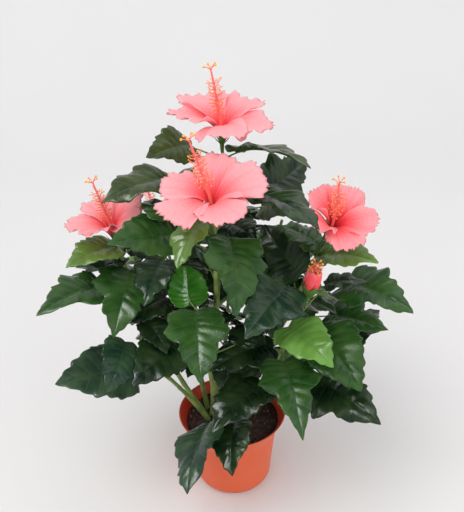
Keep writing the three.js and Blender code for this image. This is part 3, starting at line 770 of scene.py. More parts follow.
# Adds the rule's leaves to a shoot: headings step round by the golden ratio inside a sector.
def addByRule(shoot, limb):
    rule, tones = shoot["rule"], shoot["tones"]
    random = dice(rule["seed"])

    def vary(size):
        return size * (1 + ruleLeaf["vary"] * eitherWay(random))

    for number in range(rule["count"]):
        for attempt in range(ruleLeaf["attempts"]):
            place = ((number + 1) * golden + attempt * ruleLeaf["shift"]) % 1
            out = rule["facing"] + rule["spread"] * (2 * place - 1)
            entry = leafAt(
                ruleLeaf["last"] * (number + between(random, ruleLeaf["first"], 1)) / rule["count"],
                out,
                vary(ruleLeaf["rise"]),
                vary(ruleLeaf["stalk"]),
                out + ruleLeaf["swing"] * eitherWay(random),
                ruleLeaf["pitch"] + ruleLeaf["dip"] * eitherWay(random),
                vary(ruleLeaf["length"]),
                roll=ruleLeaf["roll"] * eitherWay(random),
                kind="lobed" if random() < ruleLeaf["lobed"] else "plain",
                tone=tones[(number + attempt) % len(tones)],
            )
            leaf = placeLeaf(shoot["path"], shoot["bare"], entry)
            samples = leafSamples(leaf)
            if isFree(samples, leaf["root"], limb, ruleLeaf["clear"]):
                shoot["placed"].append(leaf)
                take(samples)
                break


# A thin twig with a few young leaves that fan out from its tip.
def growSprig(shoot, number, at, out, random):
    root = pathPoint(shoot["path"], shoot["bare"] + (1 - shoot["bare"]) * at)
    reach = sprigRule["reach"] * between(random, 0.7, 1.3)
    middle = root + direction(out, sprigRule["bend"]) * reach / 2
    tip = root + direction(out, between(random, *sprigRule["rise"])) * reach
    path, tones, leaves = [root, middle, tip], shoot["tones"], []
    for place in range(sprigRule["leaves"]):
        swing = (place - (sprigRule["leaves"] - 1) / 2) * sprigRule["fan"]
        entry = leafAt(
            1 - sprigRule["gap"] * place,
            out + swing,
            between(random, *sprigRule["rise"]),
            sprigRule["stalk"] * between(random, 0.8, 1.3),
            out + swing * 0.8,
            between(random, *sprigRule["pitch"]),
            sprigRule["length"] * between(random, 0.7, 1.2),
            roll=sprigRule["roll"] * eitherWay(random),
            tone=tones[(number + place) % len(tones)],
        )
        leaves.append(placeLeaf(path, 0, entry))
    return {"path": path, "leaves": leaves}


# Adds sprigs to a shoot, inside the sector that its rule faces.
def addSprigs(shoot, limb):
    random = dice(sprigRule["seed"] + sprigRule["seedStep"] * limb)
    rule = shoot["rule"]
    shoot["sprigs"] = []
    for number in range(shoot["sprigCount"]):
        for attempt in range(sprigRule["attempts"]):
            turn = (number * golden + attempt * ruleLeaf["shift"] + random()) % 1
            out = rule["facing"] + rule["spread"] * (2 * turn - 1)
            at = (number + random()) / shoot["sprigCount"]
            at = sprigRule["ends"] + (1 - 2 * sprigRule["ends"]) * at
            sprig = growSprig(shoot, number, at, out, random)
            samples = np.concatenate([leafSamples(leaf) for leaf in sprig["leaves"]])
            if isFree(samples, sprig["path"][0], limb, sprigRule["clear"]):
                shoot["sprigs"].append(sprig)
                take(samples)
                takePath(sprig["path"], limb, 12)
                break


takePath(mainStem["path"], 0)
for limb, shoot in enumerate(shoots.values(), 1):
    takePath(shoot["path"], limb)
    shoot["placed"] = [placeLeaf(shoot["path"], shoot["bare"], entry) for entry in shoot["leaves"]]
    for leaf in shoot["placed"]:
        take(leafSamples(leaf))
for name, entry in blooms.items():
    blooms[name] = placeBloom(entry, pathPoint(shoots[entry["on"]]["path"], 1))
    for share in (0.3, 0.5, 0.7, 0.85, 1):
        petal = np.arange(25) / 5
        phase = np.abs(2 * (petal % 1) - 1)
        drawn = share * (1 - petalSize["notch"] * share**2 * phase**6)
        take(corollaPoints(blooms[name], drawn, petal))
for limb, shoot in enumerate(shoots.values(), 1):
    addByRule(shoot, limb)
for limb, shoot in enumerate(shoots.values(), 1):
    addSprigs(shoot, limb)
print("leaves placed:", {name: len(shoot["placed"]) for name, shoot in shoots.items()})
print("sprigs placed:", {name: len(shoot["sprigs"]) for name, shoot in shoots.items()})


# Base colours of the leaves, as a screen shows them, of their veins and of their undersides.
tones = {
    "dark": (11, 39, 21),
    "mid": (34, 75, 29),
    "blue": (30, 60, 44),
    "brown": (52, 68, 34),
    "yellow": (98, 134, 58),
    "bright": (52, 124, 34),
    "lime": (98, 148, 62),
    # The grey-green tone is partly the leaf's own colour and partly lightened to stand in for glossy
    # highlights: a painted sheen.
    "grey": (50, 74, 58),
}
veinTint = (128, 158, 84)
veinShare = 0.16 # of the veins' own colour in a vein
underTint = (70, 100, 58)
stalkTint = (104, 130, 62)

bladeStyle = {
    "teeth": 10,
    "tooth": 0.027,
    "steps": (0, 0.2, 0.4, 0.57, 0.66, 0.84), # of each tooth, with a vein between the fourth and fifth
    "sides": (0.016, 0.1, 0.24, 0.38, 0.52, 0.66, 0.78, 0.88, 0.95, 1),
    "above": 0.35,
    "below": 0.45,
    "midrib": 0.9, # how much further the midrib stands out below
    "quilt": 0.014, # how far the blade swells between its veins
    "wave": 0.042, # how far the margin rises and falls
    "waves": (2.2, 3.8), # how often, along a blade
    "toothSize": (0.45, 1.35), # least and greatest share of a full tooth
    "flutter": 0.02, # how far each tooth bends by itself
    "droop": 0.05, # how far the margin bends down
    "curl": (-0.04, 0.06), # how far the tip bends down
    "seed": (7919, 104729), # of the first leaf, and the step to the next
    "drawn": {"lobed": 0.012, "plain": 0.004}, # how far the margin lies inside the part's own
    "sunk": 0.2, # share of the blade's length under which the stalk runs
}

leafLook = {
    "cloth": 900,
    "patches": 45,
    "cells": 260,
    "darker": 0.26,
    "lighter": 0.07,
    "lightTint": (150, 180, 90),
    "relief": (0.22, 0.0004), # strength and depth in metres
    "roughness": 0.17,
    "specular": 0.23,
}


# Coated cloth: darker and lighter patches over fine relief. "depth" is how strong they are.
def leafFinish(name, colour, depth=1.0):
    look = leafLook
    finish = Finish(name)
    cloth = finish.noise(look["cloth"], 2)
    patches = finish.noise(look["patches"], 3)
    colour = tint(*colour)
    darker = blendTint(colour, (0, 0, 0, 1), look["darker"] * depth)
    lighter = blendTint(colour, tint(*look["lightTint"]), look["lighter"] * depth)
    base = finish.mix(finish.spread(patches, 0.3, 0.7), darker, lighter)
    veins = finish.spread(finish.cells(look["cells"]), 0, 0.12)
    normal = finish.bump(veins * 0.6 + cloth * 0.4, *look["relief"])
    rough = finish.spread(patches, 0.2, 0.8) * 0.1 + look["roughness"]
    return finish.shade(Base_Color=base, Roughness=rough, Normal=normal, Specular_IOR_Level=look["specular"])


leafMaterials = {name: leafFinish("leaf_" + name, colour) for name, colour in tones.items()}
veinMaterials = {
    name: leafFinish("vein_" + name, blendTint(colour, veinTint, veinShare), 0.3)
    for name, colour in tones.items()
}
underMaterial = leafFinish("leaf_under", underTint, 0.5)
stalkMaterial = leafFinish("leaf_stalk", stalkTint, 0.4)

# One grid serves every blade: its teeth, the swelling between its veins, and its vein faces.
sides = np.array(bladeStyle["sides"])
sides = np.concatenate([-sides[::-1], sides])
teeth = bladeStyle["teeth"]
shares = np.array([(tooth + step) / teeth for tooth in range(teeth) for step in bladeStyle["steps"]] + [1])
shareGrid, sideGrid = np.meshgrid(shares, sides, indexing="ij")
phase = shareGrid * teeth % 1
toothShape = np.sin(math.pi * phase**1.7) ** 0.9
toothNumber = np.minimum(teeth - 1, np.floor(shareGrid * teeth)).astype(int)
envelope = np.clip(np.minimum(shareGrid * 6, (1 - shareGrid) * 5), 0, 1)
swell = np.abs(np.sin(math.pi * ((phase - 0.62) % 1))) ** 0.9 * (1 - np.abs(sideGrid)) ** 0.5
swell = swell * np.minimum(1, np.abs(sideGrid) * 4) * envelope * bladeStyle["quilt"]
onRow = np.abs(shares[:-1] * teeth % 1 - bladeStyle["steps"][3]) < 0.01
onMidrib = np.abs(sides[:-1] + sides[1:]) < 0.001
isVein = onRow[:, None] | onMidrib[None, :]


def addLeaf(heap, leaf, slots, number):
    style = bladeStyle
    random = dice(style["seed"][0] + style["seed"][1] * number)
    turns = between(random, *style["waves"])
    # Each tooth on either side has a size of its own, and bends up or down.
    sizes = np.array([[between(random, *style["toothSize"]) for _ in range(teeth)] for _ in range(2)])
    bends = np.array([[eitherWay(random) for _ in range(teeth)] for _ in range(2)])
    half = (sideGrid > 0).astype(int)
    aside = np.abs(sideGrid)
    tooth = toothShape * sizes[half, toothNumber] * envelope
    inside = style["drawn"][leaf["kind"]] + leaf["slim"]
    outward = (tooth * style["tooth"] - inside * envelope) * aside**5
    wave = sineOf(turns * shareGrid + random() + np.sign(sideGrid) * random() / 2)
    flutter = toothShape * bends[half, toothNumber] * style["flutter"]
    lift = swell + wave * aside**2 * envelope * style["wave"] * between(random, 0.5, 1.3)
    lift = lift + flutter * aside**4 * envelope
    lift = lift - style["droop"] * random() * aside**3 * envelope
    lift = lift - between(random, *style["curl"]) * shareGrid**3
    grid = bladePoints(leaf, shareGrid, sideGrid, True, outward, lift)
    below = style["below"] + style["midrib"] * bell(sideGrid, 0, 0.09) * (1 - shareGrid) ** 0.7
    blade, vein, under = slots
    slotsAbove = np.where(isVein, vein, blade)
    addSheet(heap, grid, style["above"], below, slotsAbove, under, sideGrid, shareGrid)


youngStyle = {
    "rows": 17,
    "columns": 10,
    "tooth": 0.03,
    "waves": 2.2,
    "thickness": 0.5,
    "seed": (15485863, 7919), # of the first leaf, and the step to the next
}
youngSteps = np.linspace(0, 1, youngStyle["rows"]), np.linspace(-1, 1, youngStyle["columns"])
youngShares, youngSides = np.meshgrid(*youngSteps, indexing="ij")
youngTeeth = (np.arange(youngStyle["rows"]) % 2)[:, None] * np.minimum(1, 4 * (1 - youngShares))
youngTeeth = youngTeeth * np.abs(youngSides) ** 5 * youngStyle["tooth"]


# A young leaf of a sprig, with fewer faces.
def addYoungLeaf(heap, leaf, slots, number):
    style = youngStyle
    random = dice(style["seed"][0] + style["seed"][1] * number)
    wave = np.sin(2 * math.pi * (style["waves"] * youngShares + random()) + np.sign(youngSides))
    lift = wave * youngSides**2 * bladeStyle["wave"]
    grid = bladePoints(leaf, youngShares, youngSides, True, youngTeeth, lift)
    half = style["thickness"] / 2
    slotsAbove = np.full((style["rows"] - 1, style["columns"] - 1), slots[0])
    slotsAbove[:, style["columns"] // 2 - 1] = slots[1]
    addSheet(heap, grid, half, half, slotsAbove, slots[2], youngSides, youngShares)


# A leaf's stalk, thicker at its foot and where the blade begins, runs on under the blade.
def addStalk(heap, leaf, scale=1.0):
    share = np.array(math.sqrt(bladeStyle["sunk"]))
    under = bladePoints(leaf, share, np.array(0.0), True) - leaf["normal"] * stemSize["underBlade"]
    steps = np.linspace(0, 1, 14)
    radius = stemSize["stalk"] * (0.82 - 0.3 * steps)
    radius = radius + 0.5 * bell(steps, 0, 0.06) + 0.35 * bell(steps, 0.72, 0.07)
    addTube(heap, pathPoint([leaf["root"], leaf["base"], under], steps), radius * scale, 7)


# The stem of a mass: it tapers, and swells a little where a leaf leaves it.
def addStem(heap, shoot):
    steps = np.linspace(0, 1, 41)
    radius = stemSize["boughTip"] + (stemSize["twigTip"] - stemSize["boughTip"]) * steps
    for leaf in shoot["placed"]:
        radius = radius + stemSize["swell"] * bell(steps, leaf["at"], 0.02)
    addTube(heap, pathPoint(shoot["path"], shoot["bare"] + (1 - shoot["bare"]) * steps), radius, 10, 1)


# The leaves and sprigs of one mass. "serial" is the number of its first leaf, which seeds its teeth
# and waves. Its stem and twigs are kept for the piece that is made of them later.
def leafPiece(name, shoot, serial):
    young = [leaf for sprig in shoot["sprigs"] for leaf in sprig["leaves"]]
    used = sorted({leaf["tone"] for leaf in shoot["placed"] + young})
    materials = [leafMaterials[tone] for tone in used] + [veinMaterials[tone] for tone in used]
    leaves, twigs = Heap(), Heap()
    for leaf in shoot["placed"]:
        place = used.index(leaf["tone"])
        # A blade that is turned over keeps its colour on the side that faces up.
        under = place if abs(leaf["roll"]) > 90 else 2 * len(used)
        addLeaf(leaves, leaf, (place, len(used) + place, under), serial)
        addStalk(twigs, leaf)
        serial += 1
    for sprig in shoot["sprigs"]:
        line = pathPoint(sprig["path"], np.linspace(0, 1, 12))
        addTube(twigs, line, np.linspace(*stemSize["sprig"], 12), 6)
    for leaf in young:
        place = used.index(leaf["tone"])
        addYoungLeaf(leaves, leaf, (place, len(used) + place, 2 * len(used)), serial)
        addStalk(twigs, leaf, 0.62)
        serial += 1
    addStem(twigs, shoot)
    makePiece("leaves_" + name, leaves, [*materials, underMaterial], ["foliage_" + name])
    shoot["twigs"] = twigs
    return serial


serial = 0
for name, shoot in shoots.items():
    serial = leafPiece(name, shoot, serial)


barkStyle = {
    "rings": 61,
    "sides": 16,
    "ridge": 0.12,
    "ridges": 5,
    "knot": 0.55,
    "knots": 9,
    "knotLength": 2.2,
    "grain": 70,
    "fine": 420,
    "darkTint": (96, 122, 52),
    "lightTint": (140, 160, 84),
    "scarTint": (110, 96, 60),
    "relief": (0.4, 0.0006), # strength and depth in metres
}


def barkFinish():
    style = barkStyle
    finish = Finish("stem_bark")
    grain = finish.noise(style["grain"], 4)
    fine = finish.noise(style["fine"], 3)
    base = finish.mix(finish.spread(grain, 0.3, 0.7), tint(*style["darkTint"]), tint(*style["lightTint"]))
    base = finish.mix(finish.spread(fine, 0.55, 0.8) * 0.5, base, tint(*style["scarTint"]))
    normal = finish.bump(grain * 0.5 + fine * 0.5, *style["relief"])
    return finish.shade(Base_Color=base, Roughness=fine * 0.2 + 0.45, Normal=normal)


barkMaterial = barkFinish()


# A limb with shallow ridges along it and knots where old leaves were.
def addBark(heap, path, end, foot, tip, seed, flare=0, flareHeight=1):
    style = barkStyle
    random = dice(seed)
    steps = np.linspace(0, 1, style["rings"])
    centres = pathPoint(path, end * steps)
    length = np.linalg.norm(np.diff(centres, axis=0), axis=1).sum()
    turn = roundTurn(style["sides"])
    flared = flare * np.clip(1 - steps * length / flareHeight, 0, 1)
    winding = 3 * np.sin(9 * steps + seed)
    ridges = np.sin(style["ridges"] * turn + winding[:, None])
    radius = (foot + (tip - foot) * steps + flared)[:, None] + style["ridge"] * ridges
    for knot in range(style["knots"]):
        place = (knot + between(random, 0.2, 0.8)) / style["knots"]
        side = 2 * math.pi * random()
        near = bell(steps * length, place * length, style["knotLength"])[:, None]
        facing = 0.35 + 0.65 * np.clip(np.cos(turn - side), 0, 1)[None]
        radius = radius + style["knot"] * near * facing
    addTube(heap, centres, radius, style["sides"])


bark = Heap()
stem = mainStem
addBark(bark, stem["path"], 1, stem["foot"], stem["tip"], stem["seed"], stem["flare"], stem["flareHeight"])
boughs = {name: shoot for name, shoot in shoots.items() if shoot["bare"]}
boughEnds = stemSize["boughFoot"], stemSize["boughTip"]
for bough in boughs.values():
    addBark(bark, bough["path"], bough["bare"], *boughEnds, bough["rule"]["seed"])
makePiece("bark", bark, [barkMaterial], ["main_stem", *("bough_" + name for name in boughs)])
for name, shoot in shoots.items():
    makePiece("twigs_" + name, shoot["twigs"], [stalkMaterial, barkMaterial], ["foliage_" + name])


petalStyle = {
    "rows": 26,
    "columns": 73,
    "half": 0.66, # half of a petal's width at its margin, counted in petals
    "claw": 0.6, # and at its foot
    "size": 0.955, # of the part's own petal
    "corner": 0.27, # how far its outline draws in towards its sides
    "tooth": 0.014,
    "teeth": 17,
    "ruffle": 2.8, # height of its waves
    "curl": 3, # how far an open petal's margin bends back
    "pleat": 0.14, # height of its fine folds
    "thickness": 0.6,
    "weave": 1100,
    "soft": 60,
    "relief": (0.2, 0.0003), # strength and depth in metres
    "roughness": 0.6,
    "specular": 0.3,
    "sheen": 0.25,
}

# Base colours at shares of the way from the throat out to the margin, blended in bands.
petalTints = [
    (0.08, (170, 14, 26)),
    (0.2, (224, 32, 42)),
    (0.34, (242, 68, 76)),
    (0.52, (250, 110, 117)),
    (0.72, (253, 146, 152)),
    (1, (253, 163, 168)),
]
petalBands = 14
petalShade = (230, 70, 84)
petalSeeds = {"first": 401, "bloom": 97, "petal": 31, "column": 7}
bloomTints = {"column": (250, 116, 104), "anthers": (250, 182, 62), "calyx": (86, 122, 52)}


def petalFinish(name, colour):
    style = petalStyle
    finish = Finish(name)
    weave = finish.noise(style["weave"], 2)
    soft = finish.noise(style["soft"], 2)
    colour = tint(*colour)
    shaded = blendTint(colour, tint(*petalShade), 0.08)
    return finish.shade(
        Base_Color=finish.mix(finish.spread(soft, 0.3, 0.7), shaded, colour),
        Roughness=soft * 0.1 + style["roughness"],
        Normal=finish.bump(weave, *style["relief"]),
        Specular_IOR_Level=style["specular"],
        Sheen_Weight=style["sheen"],
        Sheen_Roughness=0.5,
    )


bandPlaces = (np.arange(petalBands) + 0.5) / petalBands
bandShares, bandTints = zip(*petalTints)
bandColours = np.stack([np.interp(bandPlaces, bandShares, part) for part in zip(*bandTints)], axis=-1)
petalMaterials = [petalFinish("petal_%d" % band, colour) for band, colour in enumerate(bandColours)]
columnMaterial = petalFinish("bloom_column", bloomTints["column"])
antherMaterial = petalFinish("bloom_anthers", bloomTints["anthers"])
calyxMaterial = leafFinish("bloom_calyx", bloomTints["calyx"], 0.5)


def addPetal(heap, bloom, petal, seed):
    random = dice(seed)
    style = petalStyle
    out = np.linspace(0.02, 1, style["rows"]) ** 0.9
    side = np.linspace(-1, 1, style["columns"])
    outGrid, sideGrid = np.meshgrid(out, side, indexing="ij")
    teeth = np.abs((sideGrid * style["teeth"] / 2 + 0.12 * np.sin(5 * sideGrid + 6 * random())) % 1 - 0.5)
    nicks = style["tooth"] * (4 * teeth - 1) * (1 + 0.6 * np.sin(7 * sideGrid + 6 * random()))
    edge = style["size"] - style["corner"] * np.abs(sideGrid) ** 3.4 - nicks * outGrid**9
    edge = edge + 0.03 * np.sin(5 * sideGrid + 6 * random()) * outGrid**3
    share = outGrid * edge
    half = style["claw"] + (style["half"] - style["claw"]) * np.minimum(1, outGrid / 0.6)
    grid = corollaPoints(bloom, share, petal + 0.5 + half * sideGrid)
    normal = unit(np.cross(np.gradient(grid, axis=1), np.gradient(grid, axis=0)))
    if (normal[-1].mean(0) @ bloom["axis"]) < 0:
        normal = -normal
    waves = sineOf(0.8 * sideGrid + random()) + 0.6 * sineOf(1.7 * sideGrid + random())
    flutter = 1.1 * sineOf(2.9 * sideGrid + random() + 0.2 * np.sin(4 * sideGrid)) * outGrid**6
    lift = style["ruffle"] * (waves * outGrid**2.4 + flutter) * (0.35 + 0.65 * np.abs(sideGrid))
    # Each petal lies over its neighbour on one side and under it on the other.
    lift = lift + (0.9 + 1.6 * outGrid) * sideGrid
    lift = lift - style["curl"] * bloom["open"] * outGrid**5 + bloom["lifts"][petal] * outGrid**3
    pleats = np.sin(30 * sideGrid + 4 * np.sin(6 * outGrid))
    lift = lift + style["pleat"] * pleats * outGrid * (1 - outGrid) * 4
    grid = grid + normal * lift[..., None]
    # The bands of colour run out in streaks. Where a bloom is given painted shade, its dark bands reach
    # further out, so the whole bloom is painted darker as if in shade.
    rowPlace = ((out[:-1] + out[1:]) / 2)[:, None]
    sidePlace = sideGrid[:-1, :-1]
    streak = 0.05 * np.sin(sidePlace * 23 + seed) + 0.03 * np.sin(sidePlace * 41)
    place = rowPlace + streak * (1 - rowPlace) - bloom["paintedShade"]
    slots = np.clip(np.floor(place * petalBands), 0, petalBands - 1).astype(int)
    half = style["thickness"] / 2
    addSheet(heap, grid, half, half, slots, slots, sideGrid, outGrid)


# A ball of a few faces.
def addBall(heap, centre, radius, slot, rings, sides):
    rise = np.linspace(-math.pi / 2, math.pi / 2, rings + 2)[1:-1]
    turn, rise = np.meshgrid(roundTurn(sides), rise)
    level = np.cos(rise)
    points = np.stack([level * np.cos(turn), level * np.sin(turn), np.sin(rise)], axis=-1)
    points = np.concatenate([points.reshape(-1, 3), [[0, 0, -1], [0, 0, 1]]])
    heap.add(points * radius + centre, skinFaces(rings, sides), slot)


columnStyle = {
    "root": 8, # above the bloom's foot
    "length": 50,
    "foot": 1.7,
    "tip": 0.9,
    "anthers": 66,
    "bare": 0.44, # share of the column below the lowest anther
    "full": 0.9, # and below the highest
    "crowd": 0.8, # under 1, the anthers stand closer towards the tip
    "filament": 6.6,
    "filamentRadius": 0.34,
    "anther": 0.64,
    "stigmas": 5,
    "stigma": 8,
    "stigmaRadius": 0.42,
    "stigmaBall": 1.25,
}


# The column of stamens: coral, with anthers all round its upper part and five stigmas at its tip.
def addColumn(heap, path, seed, length=1.0):
    random = dice(seed)
    style = columnStyle
    steps = np.linspace(0, 1, 24)
    addTube(heap, pathPoint(path, steps), style["foot"] + (style["tip"] - style["foot"]) * steps, 8)
    for number in range(style["anthers"]):
        place = ((number + random()) / style["anthers"]) ** style["crowd"]
        share = style["bare"] + (style["full"] - style["bare"]) * place
        root, ahead = pathPoint(path, share), pathAhead(path, share)
        aside = sideways(*frameOf(ahead), number * radians(137.5))
        reach = style["filament"] * between(random, 0.75, 1.25) * length
        end = root + aside * reach + ahead * reach * between(random, 0.1, 0.6)
        line = pathPoint([root, root + aside * reach * 0.6, end], np.linspace(0, 1, 4))
        addTube(heap, line, style["filamentRadius"], 4)
        addBall(heap, end, style["anther"] * between(random, 0.8, 1.2), 1, 3, 5)
    tip, ahead = pathPoint(path, 1), pathAhead(path, 1)
    for number in range(style["stigmas"]):
        angle = 2 * math.pi * (number + 0.3 * random()) / style["stigmas"]
        end = tip + (sideways(*frameOf(ahead), angle) + ahead) * 0.75 * style["stigma"] * length
        bend = tip + ahead * style["stigma"] * 0.5
        addTube(heap, pathPoint([tip - ahead, bend, end], np.linspace(0, 1, 6)), style["stigmaRadius"], 5)
        addBall(heap, end, style["stigmaBall"], 1, 4, 7)


calyxStyle = {
    "height": 12,
    "point": 6, # how much further the sepals' points reach
    "foot": 2.4,
    "room": 0.9, # between the calyx and the petals
    "thickness": 0.7,
    "rows": 16,
    "columns": 40,
    "sepals": 5,
    "bracts": 7,
    "bract": 13,
    "bractRadius": 0.75,
}


# A green cup with five pointed sepals that lie against the petals, and narrow bracts round it.
# "widths" are the petals' radii at the heights given.
def addCalyx(heap, foot, axis, first, second, heights, widths):
    style = calyxStyle
    rows, columns = style["rows"], style["columns"]
    upGrid, turnGrid = np.meshgrid(np.linspace(0, 1, rows), roundTurn(columns), indexing="ij")
    point = 1 - np.abs((turnGrid * style["sepals"] / (2 * math.pi)) % 1 - 0.5) * 2
    height = upGrid * style["height"] + style["point"] * (point - 0.5) * upGrid**2
    radius = np.maximum(style["foot"], np.interp(height, heights, widths) + style["room"])
    aside = sideways(first, second, turnGrid)
    inner = foot + axis * height[..., None] + aside * radius[..., None]
    outer = foot + axis * height[..., None] + aside * (radius + style["thickness"])[..., None]
    grid = np.concatenate([outer, inner[::-1]])
    index = np.arange(2 * rows * columns).reshape(2 * rows, columns)
    faces = [tuple(face) for face in gridFaces(np.hstack([index, index[:, :1]]))]
    heap.add(grid.reshape(-1, 3), [*faces, tuple(index[0][::-1]), tuple(index[-1])], 0)
    for angle in roundTurn(style["bracts"]):
        side = sideways(first, second, angle)
        root = foot + axis * 0.5 + side * 1.5
        bend = root + side * 5 + axis * 2
        end = root + side * 7 + axis * style["bract"] * 0.75
        steps = np.linspace(0, 1, 8)
        addTube(heap, pathPoint([root, bend, end], steps), style["bractRadius"] * (1.05 - steps), 6)


def bloomPieces(name, petals, petalSlots, column, green, node):
    makePiece("petals_" + name, petals, petalSlots, [node])
    makePiece("column_" + name, column, [columnMaterial, antherMaterial], [node])
    makePiece("calyx_" + name, green, [calyxMaterial], [node])


def bloomParts(name, bloom, seed):
    shoot = shoots[bloom["on"]]
    foot, axis = bloom["foot"], bloom["axis"]
    petals, column, green = Heap(), Heap(), Heap()
    for petal in range(5):
        addPetal(petals, bloom, petal, seed + petalSeeds["petal"] * petal)
    throat = foot + axis * petalSize["rise"] # where the column leaves the petals' tube
    end = throat + direction(*bloom["column"]) * columnStyle["length"] * bloom["ends"]
    addColumn(column, [foot + axis * columnStyle["root"], throat, end], seed + petalSeeds["column"])
    tip, ahead = pathPoint(shoot["path"], 1), pathAhead(shoot["path"], 1)
    stalk = [tip - ahead * 0.5, tip + ahead * bloom["stalk"] / 2, foot + axis * 3]
    addTube(green, pathPoint(stalk, np.linspace(0, 1, 10)), np.linspace(*stemSize["bloom"], 10), 9)
    outline = corollaPoints(bloom, np.linspace(0, 0.5, 40), np.zeros(40)) - foot
    heights = outline @ axis
    widths = np.linalg.norm(outline - heights[:, None] * axis, axis=1)
    addCalyx(green, foot, axis, bloom["first"], bloom["second"], heights, widths)
    bloomPieces(name, petals, petalMaterials, column, green, "bloom_" + name)


for place, (name, bloom) in enumerate(blooms.items()):
    bloomParts(name, bloom, petalSeeds["first"] + petalSeeds["bloom"] * place)


# A half-open bud: five petals wrapped round each other, a short column and a calyx.
bud = {
    "on": "bud",
    "heading": -30,
    "pitch": 78,
    "stalk": 8,
    "length": 31,
    "column": 42,
    "foot": 3,
    "radius": 8.6,
    "twist": 0.8, # how far the petals wind round, counted in petals
    "rows": 22,
    "columns": 15,
    "slots": 9, # of the petals' bands of colour, the darkest
    "seed": 5003,
}


def budRadius(share):
    return bud["foot"] + (bud["radius"] - bud["foot"]) * np.sin(math.pi * share * 0.85) ** 0.8


def addBudPetal(heap, axis, first, second, root, petal):
    rows, columns = bud["rows"], bud["columns"]
    upGrid, sideGrid = np.meshgrid(np.linspace(0, 1, rows), np.linspace(-1, 1, columns), indexing="ij")
    radius = budRadius(upGrid) * (0.86 + 0.14 * sideGrid) + 1.5 * upGrid**6
    height = bud["length"] * upGrid * (1 - 0.16 * np.abs(sideGrid) ** 3)
    height = height + 0.8 * np.sin(17 * sideGrid + petal) * upGrid**8
    angle = 2 * math.pi * (petal + 0.75 * sideGrid + bud["twist"] * upGrid) / 5
    aside = sideways(first, second, angle)
    grid = root + axis * height[..., None] + aside * radius[..., None]
    half = petalStyle["thickness"] / 2
    slots = 3 + np.arange(rows - 1)[:, None] // 6
    addSheet(heap, grid, half, half, slots, slots, sideGrid, upGrid)


def budParts():
    path = shoots[bud["on"]]["path"]
    tip, ahead = pathPoint(path, 1), pathAhead(path, 1)
    axis = direction(bud["heading"], bud["pitch"])
    first, second = frameOf(axis)
    petals, column, green = Heap(), Heap(), Heap()
    for petal in range(5):
        addBudPetal(petals, axis, first, second, tip + axis * bud["stalk"], petal)
    foot = tip + axis * (bud["stalk"] + 6)
    addColumn(column, [foot, foot + axis * 18, tip + axis * bud["column"]], bud["seed"], 0.9)
    stalk = [tip - ahead * 0.5, tip + ahead * 5, tip + axis * 12]
    addTube(green, pathPoint(stalk, np.linspace(0, 1, 10)), np.linspace(*stemSize["bud"], 10), 9)
    shares = np.linspace(0, 0.6, 20)
    calyxFoot = tip + axis * bud["stalk"]
    addCalyx(green, calyxFoot, axis, first, second, shares * bud["length"], budRadius(shares))
    bloomPieces("bud", petals, petalMaterials[: bud["slots"]], column, green, "bud_right")


budParts()


pot = {
    "height": 97,
    "rimRadius": 65,
    "neckRadius": 53,
    "neckHeight": 72,
    "baseRadius": 46,
    "cornerRadius": 9,
    "flareBow": 1.2, # over 1, the upper part flares out in a hollow curve
    "lip": (0.55, 0.2), # the rim's rounding, to either side and down
    "wall": 1.8,
    "floor": 2.5,
    "segments": 128,
    "outside": ((219, 92, 52), (224, 100, 60)),
    # The inside's tints are the outside's plastic painted darker and redder: painted shade inside the pot.
    "inside": ((226, 66, 42), (230, 72, 48)),
    "cloud": 14,
    "grain": 600,
    "relief": (0.12, 0.0002), # strength and depth in metres
    "roughness": 0.4,
    "specular": 0.4,
}

fill = {
    "top": 85,
    "fall": 1.5, # from the middle to the wall
    "gap": 0.3, # to the pot
    "rough": 1.3, # height of its lumps
    "segments": 160,
    "peat": ((30, 15, 12), (78, 40, 30)),
    "grain": 220,
    "fine": 900,
    "relief": (0.8, 0.0012), # strength and depth in metres
    "roughness": 0.85,
}


# Profile of the pot's outside, drawn in by a wall's thickness for its inside.
def potSide(inset):
    corner = pot["cornerRadius"]
    line = []
    for turn in np.linspace(-90, 0, 8):
        x = pot["baseRadius"] - corner + corner * math.cos(radians(turn))
        y = corner + corner * math.sin(radians(turn))
        line.append((x - inset * (turn > -90), max(y, pot["floor"] if inset else 0)))
    for share in (0.25, 0.5, 0.75, 0.97):
        out = pot["baseRadius"] + (pot["neckRadius"] - pot["baseRadius"]) * share
        line.append((out - inset, corner + (pot["neckHeight"] - corner) * share))
    for share in np.linspace(0, 0.97, 12):
        out = pot["neckRadius"] + (pot["rimRadius"] - pot["neckRadius"]) * share ** pot["flareBow"]
        line.append((out - inset, pot["neckHeight"] + (pot["height"] - pot["neckHeight"]) * share))
    return line


# Shapes a ball's rings, from its lowest point to its highest, to a profile turned round the middle.
def turned(name, profile, segments):
    bpy.ops.mesh.primitive_uv_sphere_add(segments=segments, ring_count=len(profile) - 1, radius=1)
    made = bpy.context.object
    made.name = made.data.name = name
    spots = np.empty(len(made.data.vertices) * 3, np.float32)
    made.data.vertices.foreach_get("co", spots)
    spots = spots.reshape(-1, 3)
    ring = np.rint((np.arcsin(np.clip(spots[:, 2], -1, 1)) / math.pi + 0.5) * (len(profile) - 1)).astype(int)
    turn = np.arctan2(spots[:, 1], spots[:, 0])
    profile = np.array(profile)
    reach, height = profile[ring].T
    moved = np.stack([reach * np.cos(turn), reach * np.sin(turn), height], axis=-1)
    return made, moved


def setPoints(made, points):
    made.data.vertices.foreach_set("co", (points * 0.001).astype(np.float32).ravel())
    made.data.update()


def potFinish(name, dark, light):
    finish = Finish(name)
    cloud = finish.noise(pot["cloud"], 2)
    grain = finish.noise(pot["grain"], 2)
    return finish.shade(
        Base_Color=finish.mix(finish.spread(cloud, 0.3, 0.7), tint(*dark), tint(*light)),
        Roughness=cloud * 0.08 + pot["roughness"],
        Normal=finish.bump(grain, *pot["relief"]),
        Specular_IOR_Level=pot["specular"],
    )


